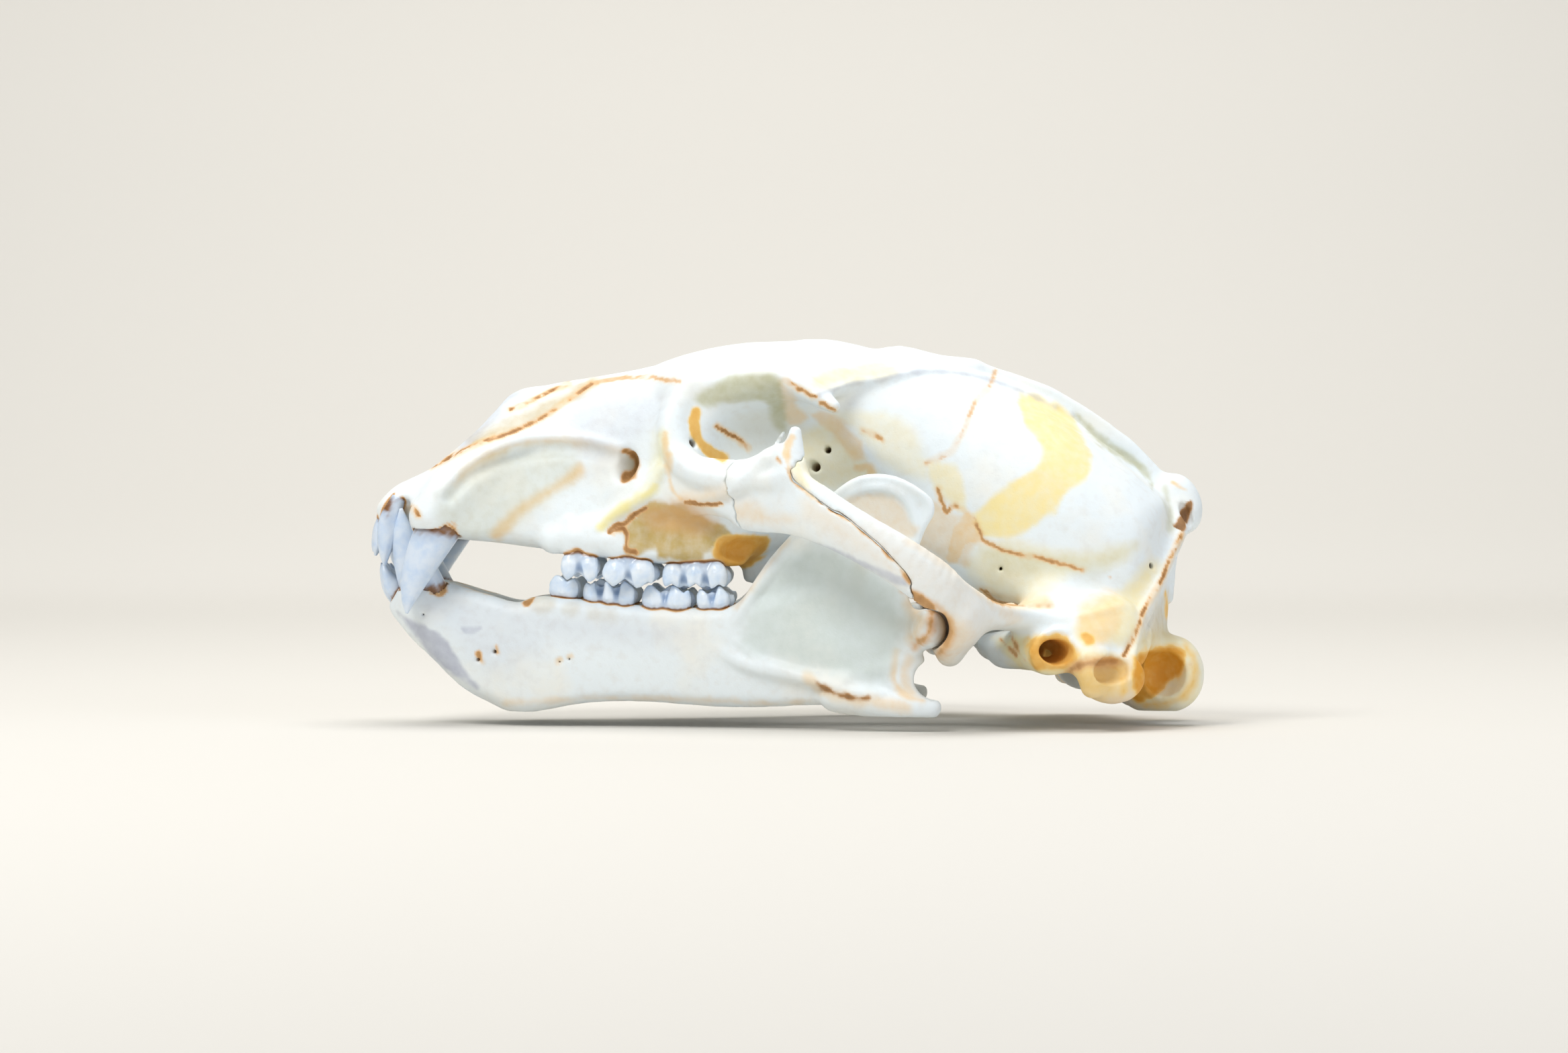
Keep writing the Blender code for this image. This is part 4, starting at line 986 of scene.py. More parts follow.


# %% [markdown]
# Stains, painted shade and highlights, and sutures
#
# Each mark is drawn in the side view: a closed outline to fill, or a line with a width. It lands on both
# sides of the skull alike, its edge is broken up by noise, and it goes no deeper or shallower than the
# distances from the middle plane that it names. A mark is kept as a number at each point of the mesh, and
# the material decides what colour it stands for.

# %% Marks
# The blue, olive, green and ochre tints are painted shade, in hollows, under overhangs and on faces turned
# from the light; the yellow tint is a painted highlight along one ridge and painted shade in front of the
# orbit's rim.
TINTS = ("straw", "yellow_highlight_and_shade", "tan", "ochre_shade", "amber", "olive_shade", "blue_shade", "green_shade", "brown", "dark")
# For each tint: strength, width of a line in millimetres or 0 for a filled outline, softness, depth range
# and the pixels of the outline or the line.
CRANIUM_MARKS = {
    "straw": [
        (0.95, 0, 1.6, ANY, "1517,586 1569,600 1610,646 1623,700 1589,729 1569,762 1515,795 1465,799 "
                            "1448,766 1494,729 1548,687 1548,662 1523,625"),
        (0.6, 0, 2.5, ANY, "1200,571 1225,555 1258,548 1328,542 1332,557 1299,565 1258,573 1220,580"),
        (0.35, 0, 3, ANY, "1241,613 1328,617 1357,638 1374,667 1382,712 1357,712 1324,696 1287,662 "
                          "1266,638"),
        (0.6, 0, 2, ANY, "1382,687 1419,696 1436,729 1436,762 1407,745 1382,712"),
        (0.5, 0, 3, ANY, "1183,654 1233,629 1258,658 1287,683 1299,712 1233,729 1196,712"),
        (0.45, 0, 4, ANY, "1469,812 1511,807 1606,824 1689,812 1664,837 1606,849 1565,878 1548,903 "
                          "1507,899 1465,878 1440,841"),
        (0.7, 0, 3, ANY, "1598,932 1627,903 1668,878 1714,837 1726,849 1701,895 1689,936 1672,965 "
                         "1639,957 1610,961"),
        (0.75, 0, 3, ANY, "1482,953 1540,948 1589,965 1668,977 1685,1027 1631,1048 1598,1048 1560,1020 "
                          "1536,1016 1510,992"),
        (0.6, 0, 2, (60, 120), "1183,655 1195,655 1190,690 1204,722 1190,725 1172,690"),
        (0.6, 0, 5, ANY, "1690,950 1780,950 1786,1052 1690,1052"),
    ],
    "tan": [
        (0.45, 0, 2, ANY, "1353,803 1382,745 1419,766 1440,766 1465,807 1448,812 1440,840 1415,840 "
                          "1382,824"),
        (0.75, 0, 1, ANY, "1419,787 1440,762 1461,795 1457,807 1436,812 1424,840 1407,832"),
        (0.6, 0, 1, ANY, "1602,936 1614,911 1639,903 1639,928 1627,948 1643,953 1618,957"),
        (0.55, 0, 1.5, ANY, "1158,567 1175,580 1191,609 1204,623 1175,633 1162,604"),
        (0.6, 0, 1.5, ANY, "1204,617 1233,617 1258,633 1279,658 1287,683 1270,687 1254,667 1237,646 "
                           "1212,625"),
        (0.7, 1.6, 1, ANY, "1276,697 1292,695 1297,710"),
        (0.75, 2.2, 2.5, ANY, "738,797 762,770 792,748 828,725 862,700"),
        (0.6, 0.8, 3, ANY, "675,720 708,691 746,671 787,659 828,657 882,662 920,671"),
        (0.55, 2.2, 2, ANY, "1461,880 1482,895 1523,897 1560,901"),
        (0.35, 3, 3, (50, 120), "1353,807 1424,849 1461,882 1507,920"),
        (0.8, 0, 1.2, ANY, "1589,990 1614,982 1664,982 1656,1002 1643,1019 1635,998 1606,998 1581,1015"),
        (0.7, 0, 1.5, ANY, "1399,903 1419,919 1424,948 1407,969 1395,961"),
        (0.7, 1, 1, ANY, "990,646 994,696 1000,729 1011,743"),
        (0.4, 2.8, 2.5, ANY, "1011,743 1060,738 1095,725 1115,715"),
        (0.7, 0.7, 0.8, ANY, "975,750 940,768 930,785 912,795"),
        (0.8, 0, 0.8, (0, 12), "1745,718 1768,729 1764,733 1751,727"),
        (0.6, 0, 3, ANY, "1603,905 1625,885 1660,885 1668,930 1640,962 1606,950"),
        (0.45, 0, 5, (50, 120), "1390,900 1440,925 1452,950 1430,978 1400,995 1380,988"),
        (0.2, 0, 9, (50, 120), "1300,775 1460,880 1480,930 1440,960 1380,900 1300,850"),
        (0.55, 0, 3, ANY, "1590,985 1700,985 1700,1052 1596,1052"),
    ],
    "brown": [
        (0.85, 0.5, 0.6, ANY, "960,757 944,766 931,779 917,782 905,794 925,787 932,797 931,818 944,823"),
        (0.8, 0.5, 0.6, ANY, "1652,861 1663,862"),
        (0.75, 0, 2, ANY, "1590,1000 1600,986 1630,981 1664,982 1655,992 1620,994 1602,1001"),
        (0.6, 0, 2.5, (50, 120), "1388,898 1408,912 1419,935 1418,955 1405,975 1380,986 1398,960 "
                                 "1401,940 1396,920"),
        (0.6, 0.4, 0.8, ANY, "1488,952 1512,976"),
        (0.6, 0.4, 0.8, ANY, "1502,948 1524,984"),
        # The next wash is painted shade in the top of the hollow under the arch's front root.
        (0.35, 0, 4, ANY, "957,762 1020,746 1060,770 1060,795 1010,790 977,791"),
        (0.8, 1.6, 1, ANY, "930,674 943,680 948,692 941,706 930,712"),
        (0.7, 0, 1.5, ANY, "1341,874 1357,878 1390,899 1402,925 1399,948 1382,973 1366,984 1349,973 "
                           "1374,953 1384,928 1378,907 1357,903 1343,890"),
    ],
    # Yellow: a painted highlight along the lip of the arch's front root, and painted shade in front of the
    # orbit's rim.
    "yellow_highlight_and_shade": [
        (0.7, 1.6, 2, ANY, "973,723 965,735 940,750 915,765 893,785"),
        (0.35, 3, 3, ANY, "985,650 978,700 965,730"),
    ],
    # Ochre: warm painted shade in the groove above the snout's suture, in the deep hollow under the arch's
    # front root and in the groove behind the neck crest.
    "ochre_shade": [
        (0.6, 2.6, 2.5, ANY, "704,655 762,632 810,608 850,588 882,571"),
        (0.95, 0, 1.2, ANY, "982,745 1081,787 1081,807 1046,824 1040,845 1011,836 978,832 974,820 "
                            "934,826 932,787 953,766"),
        (0.5, 0, 4, ANY, "1735,882 1739,919 1751,948 1722,953 1701,957 1710,919"),
    ],
    "amber": [
        (0.9, 0, 1.5, ANY, "1062,818 1075,800 1110,797 1140,800 1140,815 1130,835 1100,845 1085,848 "
                           "1068,835"),
        (0.7, 2, 1, ANY, "1035,612 1032,640 1045,665 1075,682"),
        (1, 0, 1.5, ANY, "1685,1000 1697,973 1730,961 1756,965 1765,985 1752,1012 1734,1020 1710,1042 "
                         "1687,1040"),
        (0.8, 1.6, 1.2, ANY, "1615,946 1622,952"),
        (0.6, 0.7, 1, ANY, "1734,883 1738,912 1745,938"),
        (0.4, 0, 4, ANY, "1585,1002 1660,992 1668,1014 1640,1032 1600,1032"),
        (0.5, 1.4, 2, ANY, "1600,1000 1640,990 1665,1000 1672,1030"),
        (0.45, 1.2, 2, ANY, "1764,965 1776,985 1776,1010 1764,1032 1740,1046 1706,1050"),
        (0.8, 0, 2, (30, 80), "1530,950 1590,950 1600,990 1540,995"),
    ],
    # Olive: painted shade under the orbit's roof, in the cheek's hollow, beside the crests and under the
    # ridge over the ear.
    "olive_shade": [
        (0.75, 0, 2, (0, 60), "1035,588 1080,565 1142,556 1165,580 1168,640 1150,632 1138,600 1090,598 "
                              "1045,606"),
        (0.3, 0, 4, ANY, "655,740 700,700 760,672 830,665 860,690 850,720 800,760 740,795 690,800 "
                         "650,780"),
        (0.7, 0, 1.2, ANY, "1602,619 1614,623 1639,650 1689,683 1714,712 1714,729 1697,704 1648,671 "
                           "1618,646"),
        (0.5, 1.2, 1.5, ANY, "1733,729 1741,760 1741,787"),
        (0.3, 0, 4, ANY, "1469,812 1606,830 1689,812 1640,850 1560,860 1480,850"),
    ],
    # Blue: cool painted shade on the rim of the nose opening, along the temporal line, under the arch and
    # on the upper side of the snout.
    "blue_shade": [
        (0.5, 2.5, 3, (0, 30), "690,665 720,630 745,600 765,588"),
        (0.45, 0.7, 1, ANY, "1219,588 1260,573 1300,568 1340,559 1381,553 1445,560 1514,580 1568,606"),
        (0.7, 1, 1, (60, 120), "1130,797 1200,808 1283,840 1346,868"),
        (0.35, 0, 6, ANY, "860,600 1000,580 960,640 900,690 860,660"),
    ],
    "dark": [
        (0.8, 0, 1, (0, 16), "1771,745 1756,765 1749,790 1757,792 1770,772 1775,752"),
    ],
}
# Sutures and cracks: strength, depth range, pixels. Each is drawn as a broken thin line.
SUTURES = [
    (0.9, ANY, "640,696 704,664 762,643 810,620 838,600 880,571"),
    (0.9, (0, 26), "757,611 780,602 812,586 845,572"),
    (0.45, ANY, "880,571 925,563 965,562 990,566 1010,568"),
    (0.9, ANY, "1066,636 1090,650 1112,668"),
    (0.8, ANY, "1020,748 1045,752 1072,750"),
    (0.8, ANY, "1167,567 1190,580 1212,592"),
    (0.7, ANY, "1222,600 1241,611"),
    (0.45, ANY, "1378,690 1395,683 1415,673 1424,658 1436,637 1450,600 1473,575 1480,554"),
    (0.7, ANY, "1395,729 1407,762 1419,754 1440,766 1457,791 1465,807 1507,824 1548,832 1610,849"),
    (0.9, ANY, "1759,795 1751,812 1739,837 1730,861 1718,882 1701,911 1693,936 1672,977"),
    (0.6, ANY, "1461,878 1482,897 1523,903 1560,903"),
    (0.6, ANY, "1283,641 1295,646 1312,656"),
    (0.5, ANY, "1751,1000 1765,995 1772,990"),
    (0.9, ANY, "600,762 612,757 622,768"),
]
JUGAL_MARKS = {
    "tan": [
        (0.45, 0, 4, ANY, "1075,750 1110,748 1146,765 1180,775 1146,780 1090,775"),
        (0.3, 0, 6, ANY, "1200,752 1250,770 1320,830 1350,868 1300,840 1230,795"),
        (0.8, 1, 1, ANY, "1177,650 1169,675 1177,710 1197,729 1251,767 1299,802 1327,831 1356,867"),
    ],
    "brown": [
        (0.7, 0.5, 0.8, ANY, "1218,748 1260,772 1300,805 1330,835 1354,868"),
        (0.6, 0.5, 0.8, ANY, "1155,682 1170,700 1180,718 1194,729"),
    ],
    # Blue: cool painted shade along the lower edge of the arch.
    "blue_shade": [
        (0.7, 1, 1, ANY, "1130,797 1200,808 1283,840 1346,868"),
    ],
}
JAW_MARKS = {
    "tan": [
        (0.45, 0, 2, ANY, "1254,745 1291,733 1328,741 1345,758 1353,778 1366,787 1353,803 1324,795 "
                          "1287,770"),
        (0.7, 1.2, 1.5, ANY, "1332,970 1330,1011 1347,1036 1374,1044"),
        (0.5, 2, 2, ANY, "1200,1008 1240,1035 1300,1045 1350,1054"),
        (0.6, 2.5, 3, (50, 120), "1352,900 1368,925 1356,950"),
        (0.5, 1.5, 2, ANY, "1352,984 1344,1004 1352,1030 1372,1044"),
        (0.8, 1.2, 1.2, ANY, "668,862 700,874 730,883"),
        (0.6, 1.1, 1, ANY, "712,976 715,987"),
        (0.6, 1, 1, ANY, "738,963 740,973"),
        (0.6, 0.9, 0.8, ANY, "831,984 834,982"),
        (0.6, 0.9, 0.8, ANY, "846,978 849,977"),
        (0.4, 1, 1.5, ANY, "1095,905 1130,860 1171,806"),
        (0.35, 0.8, 1.5, ANY, "753,1047 887,1040 1021,1042 1144,1048 1205,1044"),
    ],
    # Green: painted shade filling the hollow of the chewing muscle.
    "green_shade": [
        (0.8, 0, 5, ANY, "1171,830 1230,815 1290,850 1330,880 1345,930 1330,985 1300,1018 1230,1000 "
                         "1150,980 1105,962 1118,900"),
    ],
    # Blue: cool painted shade in the muscle's hollow, on the front of the chin and along the side of the
    # jaw.
    "blue_shade": [
        (0.35, 0, 6, ANY, "1240,860 1300,880 1330,940 1315,1000 1260,990 1240,930"),
        (0.95, 0, 1.2, ANY, "589,911 609,921 647,941 668,958 685,986 708,1024 652,986 620,953"),
        (0.8, 0, 1, ANY, "685,935 700,932 718,934 712,941 697,946 688,943"),
        (0.3, 0, 8, ANY, "600,870 700,880 800,905 1000,930 1000,960 760,950 640,930"),
        (0.3, 0, 8, ANY, "660,900 780,905 820,960 740,1000 680,960"),
    ],
    # Ochre: warm painted shade in the hind part of the muscle's hollow, and faint washes along the lower
    # gum.
    "ochre_shade": [
        (0.3, 3.2, 3, ANY, "1279,845 1274,874 1287,907 1316,928 1349,932"),
        (0.3, 4.5, 2, (20, 120), "805,897 812,897"),
        (0.25, 3.4, 2, (20, 120), "845,907 850,909"),
        (0.2, 3, 2, (20, 120), "880,915 910,917"),
    ],
    "dark": [
        (0.7, 0.7, 1, ANY, "1216,1017 1250,1036 1291,1040"),
    ],
    "brown": [
        (0.6, 1.4, 2, (50, 120), "1346,876 1376,884 1386,910 1380,944 1362,962"),
        (0.7, 0.5, 0.8, ANY, "640,884 656,886 668,862 700,874 730,883"),
        (0.8, 0.5, 0.8, ANY, "777,894 783,899 797,888 815,880"),
        (0.8, 0.7, 0.8, ANY, "711,975 714,985"),
        (0.8, 0.7, 0.8, ANY, "737,962 739,972"),
    ],
}
SUTURE_HALF = 0.55
HALO = 1.9  # how far the tan border of a suture reaches
HALO_STRENGTH = 0.6
SUTURE_DASH = 9.0
MARK_EDGE = 1.2  # how far noise pushes the edge of a mark


def line_distance(path, px, pz):
    """Distance to an open line in the side view."""
    best = np.full(px.shape, 1e9)
    for (ax, az), (bx, bz) in zip(path[:-1], path[1:]):
        ex, ez = bx - ax, bz - az
        share = np.clip(((px - ax) * ex + (pz - az) * ez) / max(ex * ex + ez * ez, 1e-9), 0, 1)
        best = np.minimum(best, (px - ax - ex * share) ** 2 + (pz - az - ez * share) ** 2)
    return np.sqrt(best)


def paint(p, facing, marks, sutures, seed):
    """The mask of each tint at points p, fading where the bone turns away from the side."""
    flat = side_view(p)
    depth = np.abs(p[:, 1])
    shown = ramp(facing[:, 1] * np.sign(p[:, 1]), -0.35, 0.05)
    edge = MARK_EDGE * noise(p, 5, seed) + 0.4 * noise(p, 1.5, seed + 1)
    masks = {tint: np.zeros(len(p)) for tint in TINTS}

    def near(path, margin):
        low, high = path.min(0) - margin, path.max(0) + margin
        return np.nonzero(((flat > low) & (flat < high)).all(1))[0]

    def within(at, shallow, deep):
        return shown[at] * (depth[at] >= shallow) * (depth[at] <= deep)

    for tint, rows in marks.items():
        for strength, width, soft, reach, pixels in rows:
            path = picture(pixels)
            at = near(path, width + soft + 3)
            px, pz = flat[at].T
            if width:
                d = line_distance(smooth_path(path, 4), px, pz) - width
            else:
                d = outline_distance(smooth_path(path, 3, True), px, pz)
            value = strength * (1 - ramp(d + edge[at], -soft, soft)) * within(at, *reach)
            masks[tint][at] = np.maximum(masks[tint][at], value)
    dash = noise(p, SUTURE_DASH, seed + 2) + 0.5 * noise(p, 2.0, seed + 3)
    wander = 0.5 * noise(p, 1.8, seed + 4)
    for strength, reach, pixels in sutures:
        path = picture(pixels)
        at = near(path, 3)
        px, pz = flat[at].T
        d = line_distance(smooth_path(path, 4), px + wander[at], pz + wander[at]) - SUTURE_HALF
        value = strength * (1 - ramp(d, -0.1, 0.55)) * ramp(dash[at], -0.5, 0.1) * within(at, *reach)
        masks["brown"][at] = np.maximum(masks["brown"][at], value)
        halo = HALO_STRENGTH * strength * (1 - ramp(d, 0.2, HALO)) * within(at, *reach)
        masks["tan"][at] = np.maximum(masks["tan"][at], halo)
    return masks


# %% [markdown]
# Materials
#
# Dry bone is a chalky, slightly porous solid: it scatters light evenly, with only a faint sheen where
# hands have polished the ridges. Its hollows are painted yellower and browner, as painted shade. Enamel
# is glassy and bluer, with painted shade greying its valleys and its neck, and brown tartar where it
# enters the bone. Every pattern has a real size in millimetres, and every stain and painted shade comes
# from a mask that the mesh carries, so nothing has to be unwrapped.

# %% Node helper and colours
def linear(code):
    """An sRGB hex colour as linear RGBA."""
    parts = [int(code[i:i + 2], 16) / 255 for i in (1, 3, 5)]
    return (*(c / 12.92 if c <= 0.04045 else ((c + 0.055) / 1.055) ** 2.4 for c in parts), 1.0)


def node(tree, kind, inputs=None, **settings):
    """Add a node. Each input is a value, or a socket to link."""
    made = tree.nodes.new(kind)
    for key, value in settings.items():
        setattr(made, key, value)
    for key, value in (inputs or {}).items():
        if isinstance(value, bpy.types.NodeSocket):
            tree.links.new(value, made.inputs[key])
        else:
            made.inputs[key].default_value = value
    return made


# The blue, olive, green and ochre colours are painted shade, the yellow one a painted highlight and shade.
TINT_COLOURS = {
    "straw": "#F4E3A4",
    "yellow_highlight_and_shade": "#F6E77E",
    "tan": "#ECC78A",
    "ochre_shade": "#C2A968",
    "olive_shade": "#B9B88F",
    "blue_shade": "#B9BECB",
    "green_shade": "#CFDAD6",
    "amber": "#DE9A2C",
    "brown": "#8A5518",
    "dark": "#5A3A22",
}

# Dark stains are warmer and lighter where they are thin.
TINT_EDGES = {"amber": "#F2CC7C", "brown": "#DDB07A", "dark": "#B78A5A"}


# %% Dry bone
def dry_bone():
    material = bpy.data.materials.new("dry_bone")
    material.use_nodes = True
    tree = material.node_tree
    tree.nodes.clear()
    place = node(tree, "ShaderNodeTexCoord").outputs["Object"]
    clouds = node(tree, "ShaderNodeTexNoise",
                  {"Vector": place, "Scale": 1 / (24 * MM), "Detail": 4.0}).outputs[0]
    mottle = node(tree, "ShaderNodeTexNoise",
                  {"Vector": place, "Scale": 1 / (4 * MM), "Detail": 5.0}).outputs[0]
    # Cool white bone with cream patches a couple of centimetres across and finer mottling in them.
    cream = node(tree, "ShaderNodeMapRange",
                 {"Value": clouds, "From Min": 0.48, "From Max": 0.7}).outputs[0]
    colour = node(tree, "ShaderNodeMix", {0: cream, 6: linear("#E9F1F4"), 7: linear("#EEEFE9")},
                  data_type="RGBA").outputs[2]
    flecks = node(tree, "ShaderNodeMapRange",
                  {"Value": mottle, "From Min": 0.5, "From Max": 0.75, "To Max": 0.5}).outputs[0]
    colour = node(tree, "ShaderNodeMix", {0: flecks, 6: colour, 7: linear("#E1E3E1")},
                  data_type="RGBA").outputs[2]
    # Painted shade: broad hollows are painted yellower.
    broad = node(tree, "ShaderNodeAttribute", attribute_name="recess").outputs["Fac"]
    painted_broad_hollow_shade = node(tree, "ShaderNodeMapRange",
                {"Value": broad, "From Min": 0.56, "From Max": 0.85, "To Max": 0.8}).outputs[0]
    colour = node(tree, "ShaderNodeMix", {0: painted_broad_hollow_shade, 6: colour, 7: linear("#DDD3AE")},
                  data_type="RGBA").outputs[2]
    # Stains, painted shade, a painted highlight and sutures drawn on the mesh, broken up by the same noise.
    uneven = node(tree, "ShaderNodeMapRange", {"Value": mottle, "From Min": 0.3, "From Max": 0.65,
                                               "To Min": 0.8, "To Max": 1.05}).outputs[0]
    for tint, shade in TINT_COLOURS.items():
        mask = node(tree, "ShaderNodeAttribute", attribute_name=tint).outputs["Fac"]
        strength = node(tree, "ShaderNodeMath", {0: mask, 1: uneven}, operation="MULTIPLY",
                        use_clamp=True).outputs[0]
        if tint in TINT_EDGES:
            thin = node(tree, "ShaderNodeMapRange", {"Value": strength, "From Max": 0.5}).outputs[0]
            colour = node(tree, "ShaderNodeMix", {0: thin, 6: colour, 7: linear(TINT_EDGES[tint])},
                          data_type="RGBA").outputs[2]
            strength = node(tree, "ShaderNodeMapRange", {"Value": strength, "From Min": 0.4}).outputs[0]
        colour = node(tree, "ShaderNodeMix", {0: strength, 6: colour, 7: linear(shade)},
                      data_type="RGBA").outputs[2]
    # Painted shade: tight hollows are painted darker brown.
    tight = node(tree, "ShaderNodeAttribute", attribute_name="hollow").outputs["Fac"]
    painted_tight_hollow_shade = node(tree, "ShaderNodeMapRange",
                {"Value": tight, "From Min": 0.66, "From Max": 0.92, "To Max": 0.85}).outputs[0]
    colour = node(tree, "ShaderNodeMix", {0: painted_tight_hollow_shade, 6: colour, 7: linear("#9A7440")},
                  data_type="RGBA").outputs[2]
    # Pores a third of a millimetre wide, and the chalky skin between them.
    pores = node(tree, "ShaderNodeTexVoronoi",
                 {"Vector": place, "Scale": 1 / (1.3 * MM)}).outputs["Distance"]
    pits = node(tree, "ShaderNodeMapRange", {"Value": pores, "From Min": 0.05, "From Max": 0.3}).outputs[0]
    chalk = node(tree, "ShaderNodeTexNoise",
                 {"Vector": place, "Scale": 1 / (0.9 * MM), "Detail": 3.0}).outputs[0]
    skin = node(tree, "ShaderNodeBump",
                {"Height": chalk, "Strength": 0.35, "Distance": 0.12 * MM}).outputs[0]
    skin = node(tree, "ShaderNodeBump",
                {"Height": pits, "Normal": skin, "Strength": 0.3, "Distance": 0.1 * MM}).outputs[0]
    # Roughness 0.5 on handled ridges to 0.7 in the hollows.
    rough = node(tree, "ShaderNodeMapRange", {"Value": broad, "From Min": 0.3, "From Max": 0.7,
                                              "To Min": 0.5, "To Max": 0.7}).outputs[0]
    surface = node(tree, "ShaderNodeBsdfPrincipled",
                   {"Base Color": colour, "Roughness": rough, "Normal": skin,
                                                     "IOR": 1.55, "Specular IOR Level": 0.35})
    node(tree, "ShaderNodeOutputMaterial", {"Surface": surface.outputs[0]})
    return material


# %% Enamel
def enamel():
    material = bpy.data.materials.new("enamel")
    material.use_nodes = True
    tree = material.node_tree
    tree.nodes.clear()
    place = node(tree, "ShaderNodeTexCoord").outputs["Object"]
    mottle = node(tree, "ShaderNodeTexNoise",
                  {"Vector": place, "Scale": 1 / (5 * MM), "Detail": 4.0}).outputs[0]
    milky = node(tree, "ShaderNodeMapRange", {"Value": mottle, "From Min": 0.4, "From Max": 0.7}).outputs[0]
    colour = node(tree, "ShaderNodeMix", {0: milky, 6: linear("#EAF4FE"), 7: linear("#CFE3FA")},
                  data_type="RGBA").outputs[2]
    deep = node(tree, "ShaderNodeAttribute", attribute_name="hollow").outputs["Fac"]
    # Painted shade: the valleys between the cusps are painted a dark bluish grey.
    valley = node(tree, "ShaderNodeMapRange",
                  {"Value": deep, "From Min": 0.46, "From Max": 0.62, "To Max": 0.9}).outputs[0]
    colour = node(tree, "ShaderNodeMix", {0: valley, 6: colour, 7: linear("#7F9AC0")},
                  data_type="RGBA").outputs[2]
    # Painted shade greys the crown towards the neck; a thin brown line of tartar runs where it enters the
    # bone.
    root = node(tree, "ShaderNodeAttribute", attribute_name="root").outputs["Fac"]
    painted_neck_shade = node(tree, "ShaderNodeMath", {0: root, 1: 0.45}, operation="MULTIPLY").outputs[0]
    colour = node(tree, "ShaderNodeMix", {0: painted_neck_shade, 6: colour, 7: linear("#A9B7CC")},
                  data_type="RGBA").outputs[2]
    tartar = node(tree, "ShaderNodeAttribute", attribute_name="tartar").outputs["Fac"]
    colour = node(tree, "ShaderNodeMix", {0: tartar, 6: colour, 7: linear("#7A4E1E")},
                  data_type="RGBA").outputs[2]
    # Growth lines and hairline cracks that run along the crown.
    lines = node(tree, "ShaderNodeMapping", {"Vector": place, "Scale": (1.0, 1.0, 0.12)}).outputs[0]
    grain = node(tree, "ShaderNodeTexNoise",
                 {"Vector": lines, "Scale": 1 / (1.2 * MM), "Detail": 2.0}).outputs[0]
    skin = node(tree, "ShaderNodeBump",
                {"Height": grain, "Strength": 0.25, "Distance": 0.1 * MM}).outputs[0]
    surface = node(tree, "ShaderNodeBsdfPrincipled",
                   {"Base Color": colour, "Roughness": 0.3, "Normal": skin,
                                                     "IOR": 1.62, "Coat Weight": 0.15,
                                                     "Coat Roughness": 0.2})
    node(tree, "ShaderNodeOutputMaterial", {"Surface": surface.outputs[0]})
    return material


# %% [markdown]
# Putting the pieces together
#
# Each fine piece stands for the solid of the same bone, which is then hidden. The teeth come first, so that
# the bone round them can be stained where it touches them, as a gum line is.

# %% Place a piece
BONE = dry_bone()
ENAMEL = enamel()
SIDES = (("right", 1), ("left", -1))


def mirrored(points, quads, side):
    return (points, quads) if side > 0 else (points * (1, -1, 1), quads[:, ::-1])


def place_piece(name, points, quads, masks, material, replaced=()):
    obj = mesh_object(name, points, quads, masks)
    obj.data.materials.append(material)
    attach(obj, "root")
    if replaced:
        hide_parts(*replaced)
    print(f"{name}: {len(quads)} faces")
    return obj


# %% Teeth
UPPER_YAW, LOWER_YAW = 8, 14  # how far the tooth rows spread towards the back, in degrees
TARTAR = (0.2, 1.0)  # from and to which distance from the bone the brown line at the neck fades
# ROOT: from and to which distance from the bone the painted shade on the crown fades.
ROOT = (0.6, 3.2)  # the same for the duller root
tooth_points = []
cranium_field, jugal_field = make_bone_fields()
jaw_field = make_jaw_field()
print("lattices:", cranium_field.d.shape, jaw_field.d.shape)


def to_bone(points, field):
    low = np.array([a[0] for a in field.axes])
    return sample(field.d, (points - low) / field.step)


def place_tooth(name, tooth, seed, replaced=None, wrinkle=ENAMEL_WRINKLE):
    """Both sides' teeth, stained where they enter the bone."""
    points, quads, masks = tooth
    away = to_bone(points, cranium_field if "upper" in name else jaw_field) + 0.3 * noise(points, 1.2, seed)
    masks = {**masks, "tartar": 1 - ramp(away, *TARTAR), "root": 1 - ramp(away, *ROOT)}
    for side_name, side in SIDES:
        p, q = mirrored(points, quads, side)
        tooth_points.append(p)
        p = p + normals(p, q) * (wrinkle * noise(p, 1.6, seed) + 2 * wrinkle * noise(p, 5,
                                                                                     seed + 1))[:, None]
        nodes = [f"{replaced}_{side_name}"] if replaced else []
        place_piece(f"{name}_{side_name}", p, q, masks, ENAMEL, nodes)


for seed, (name, size) in enumerate(UPPER_CHEEK.items(), 20):
    place_tooth(name, cheek_tooth(size, UPPER_GUM, -1, UPPER_YAW, seed), seed)
for seed, (name, size) in enumerate(LOWER_CHEEK.items(), 30):
    place_tooth(name, cheek_tooth(size, LOWER_GUM, 1, LOWER_YAW, seed), seed)
for level, first_seed, incisors in (("upper", 40, UPPER_INCISORS), ("lower", 50, LOWER_INCISORS)):
    for i, sizes in enumerate(incisors):
        place_tooth(f"incisor_{level}_{i + 1}", incisor(*sizes), first_seed + i, wrinkle=0.06)
place_tooth("crown_upper", canine(UPPER_CANINE, UPPER_CANINE_R), 60, "canine_upper", 0.05)
place_tooth("crown_lower", canine(LOWER_CANINE, LOWER_CANINE_R), 61, "canine_lower", 0.05)

# %% Bones
RELIEF = ((11, 0.2), (4.5, 0.09), (1.6, 0.035))  # size and height of the unevenness of bone
RECESS_SIZES = (5, 18)  # tight hollows and broad ones
GROOVE = 0.3  # depth of a suture
GUM = 1.3  # how far the stain reaches from a tooth
GUM_STRENGTH = 0.75
GUM_BOX = (-175, -15, 30, 112)  # x and z range in which teeth stand in bone

gum_tree = mathutils.kdtree.KDTree(sum(len(p) for p in tooth_points))
for i, p in enumerate(np.vstack(tooth_points)):
    gum_tree.insert(p, i)
gum_tree.balance()


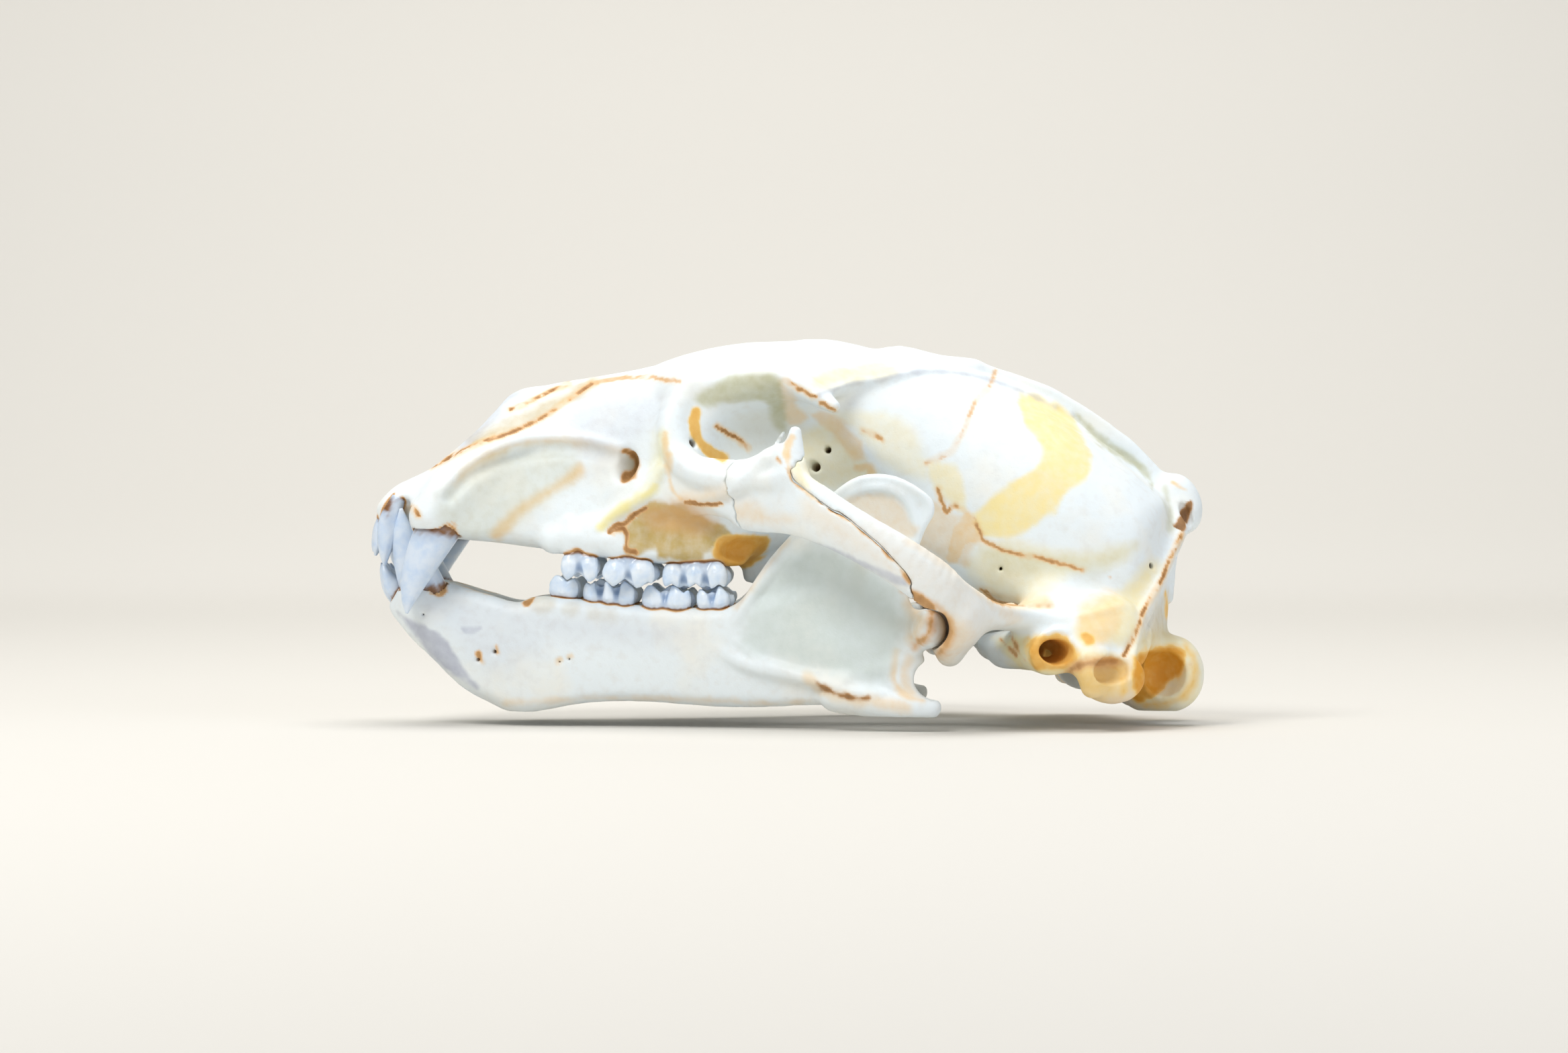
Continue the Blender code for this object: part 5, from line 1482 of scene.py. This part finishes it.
def gum_stain(points):
    """How strongly the bone is stained by a tooth close to it."""
    x0, x1, z0, z1 = GUM_BOX
    close = (points[:, 0] > x0) & (points[:, 0] < x1) & (points[:, 2] > z0) & (points[:, 2] < z1)
    away = np.full(len(points), FAR)
    away[close] = [gum_tree.find(p)[2] for p in points[close]]
    return 1 - ramp(away, 0.3, GUM)


def finish_bone(name, field, both, side, marks, sutures, seed, replaced):
    points, quads = field.surface(both)
    hollow, deep = (recess(field, points, both, size) for size in RECESS_SIZES)
    points, quads = mirrored(relaxed(points, quads, 1), quads, side)
    facing = normals(points, quads)
    masks = paint(points, facing, marks, sutures, seed)
    bumps = sum(height * noise(points, size, seed + 10 + i) for i, (size, height) in enumerate(RELIEF))
    points = points + facing * (bumps - GROOVE * masks["brown"])[:, None]
    points[:, 2] = np.maximum(points[:, 2], 0)
    masks["brown"] = np.maximum(masks["brown"], GUM_STRENGTH * gum_stain(points))
    masks.update(hollow=hollow, recess=deep)
    return place_piece(name, points, quads, masks, BONE, replaced)


finish_bone("bone_cranium", cranium_field, True, 1, CRANIUM_MARKS, SUTURES, 100, ["cranium"])
for side_name, side in SIDES:
    finish_bone(f"bone_jugal_{side_name}", jugal_field, False, side, JUGAL_MARKS, [], 200 + side,
                [f"jugal_{side_name}"])
    finish_bone(f"bone_jaw_{side_name}", jaw_field, False, side, JAW_MARKS, [], 300 + side,
                [f"mandible_{side_name}"])

# %% [markdown]
# Floor and light
#
# The skull lies on a plain pale sheet that curves up behind it, so no edge shows. A wide soft light high in
# front draws the forms gently, a second one from the tail end and a pale sky keep the shadows open.

# %% Sheet and lamps
sheet_path = [(-2.2, 0), (0.9, 0), (1.5, 0.08), (1.9, 0.4), (2.05, 1.0), (2.1, 3.0)]  # y and z in metres
curve = smooth_path(sheet_path, 12)
rows = np.array([[(x, y / MM, z / MM) for x in (-4000, 4000)] for y, z in curve]).reshape(-1, 3)
strips = [(2 * i, 2 * i + 1, 2 * i + 3, 2 * i + 2) for i in range(len(curve) - 1)]
sheet = mesh_object("paper_sheet", rows, strips)
paper = bpy.data.materials.new("matt_paper")
paper.use_nodes = True
paper.node_tree.nodes["Principled BSDF"].inputs["Base Color"].default_value = linear("#DCD9D2")
paper.node_tree.nodes["Principled BSDF"].inputs["Roughness"].default_value = 0.9
sheet.data.materials.append(paper)

# name, place and aim in metres, width, power in watts, colour
LAMPS = [
    ("soft_key", (-0.7, -1.0, 1.3), (0, 0, 0.07), 0.7, 14, "#FFFEFC"),
    ("soft_fill", (1.2, -1.0, 0.5), (0.05, 0, 0.07), 1.0, 4.5, "#EAF1FF"),
    ("sheet_light", (0, 0.4, 2.2), (0, 1.4, 0.3), 2.0, 38, "#FFFEFC"),
]
for name, place, aim, width, power, tone in LAMPS:
    lamp = bpy.data.lights.new(name, "AREA")
    lamp.shape, lamp.size, lamp.energy, lamp.color = "DISK", width, power, linear(tone)[:3]
    holder = bpy.data.objects.new(name, lamp)
    holder.location = place
    holder.rotation_euler = (Vector(aim) - Vector(place)).to_track_quat("-Z", "Y").to_euler()
    bpy.context.scene.collection.objects.link(holder)

world = bpy.data.worlds.new("pale_room")
world.use_nodes = True
world.node_tree.nodes["Background"].inputs["Color"].default_value = linear("#F3F4F6")
world.node_tree.nodes["Background"].inputs["Strength"].default_value = 0.44
bpy.context.scene.world = world
bpy.context.scene.view_settings.view_transform = "Standard"

# %% Refresh the finished scene
for obj in bpy.context.scene.objects:
    obj.update_tag()
bpy.context.view_layer.update()
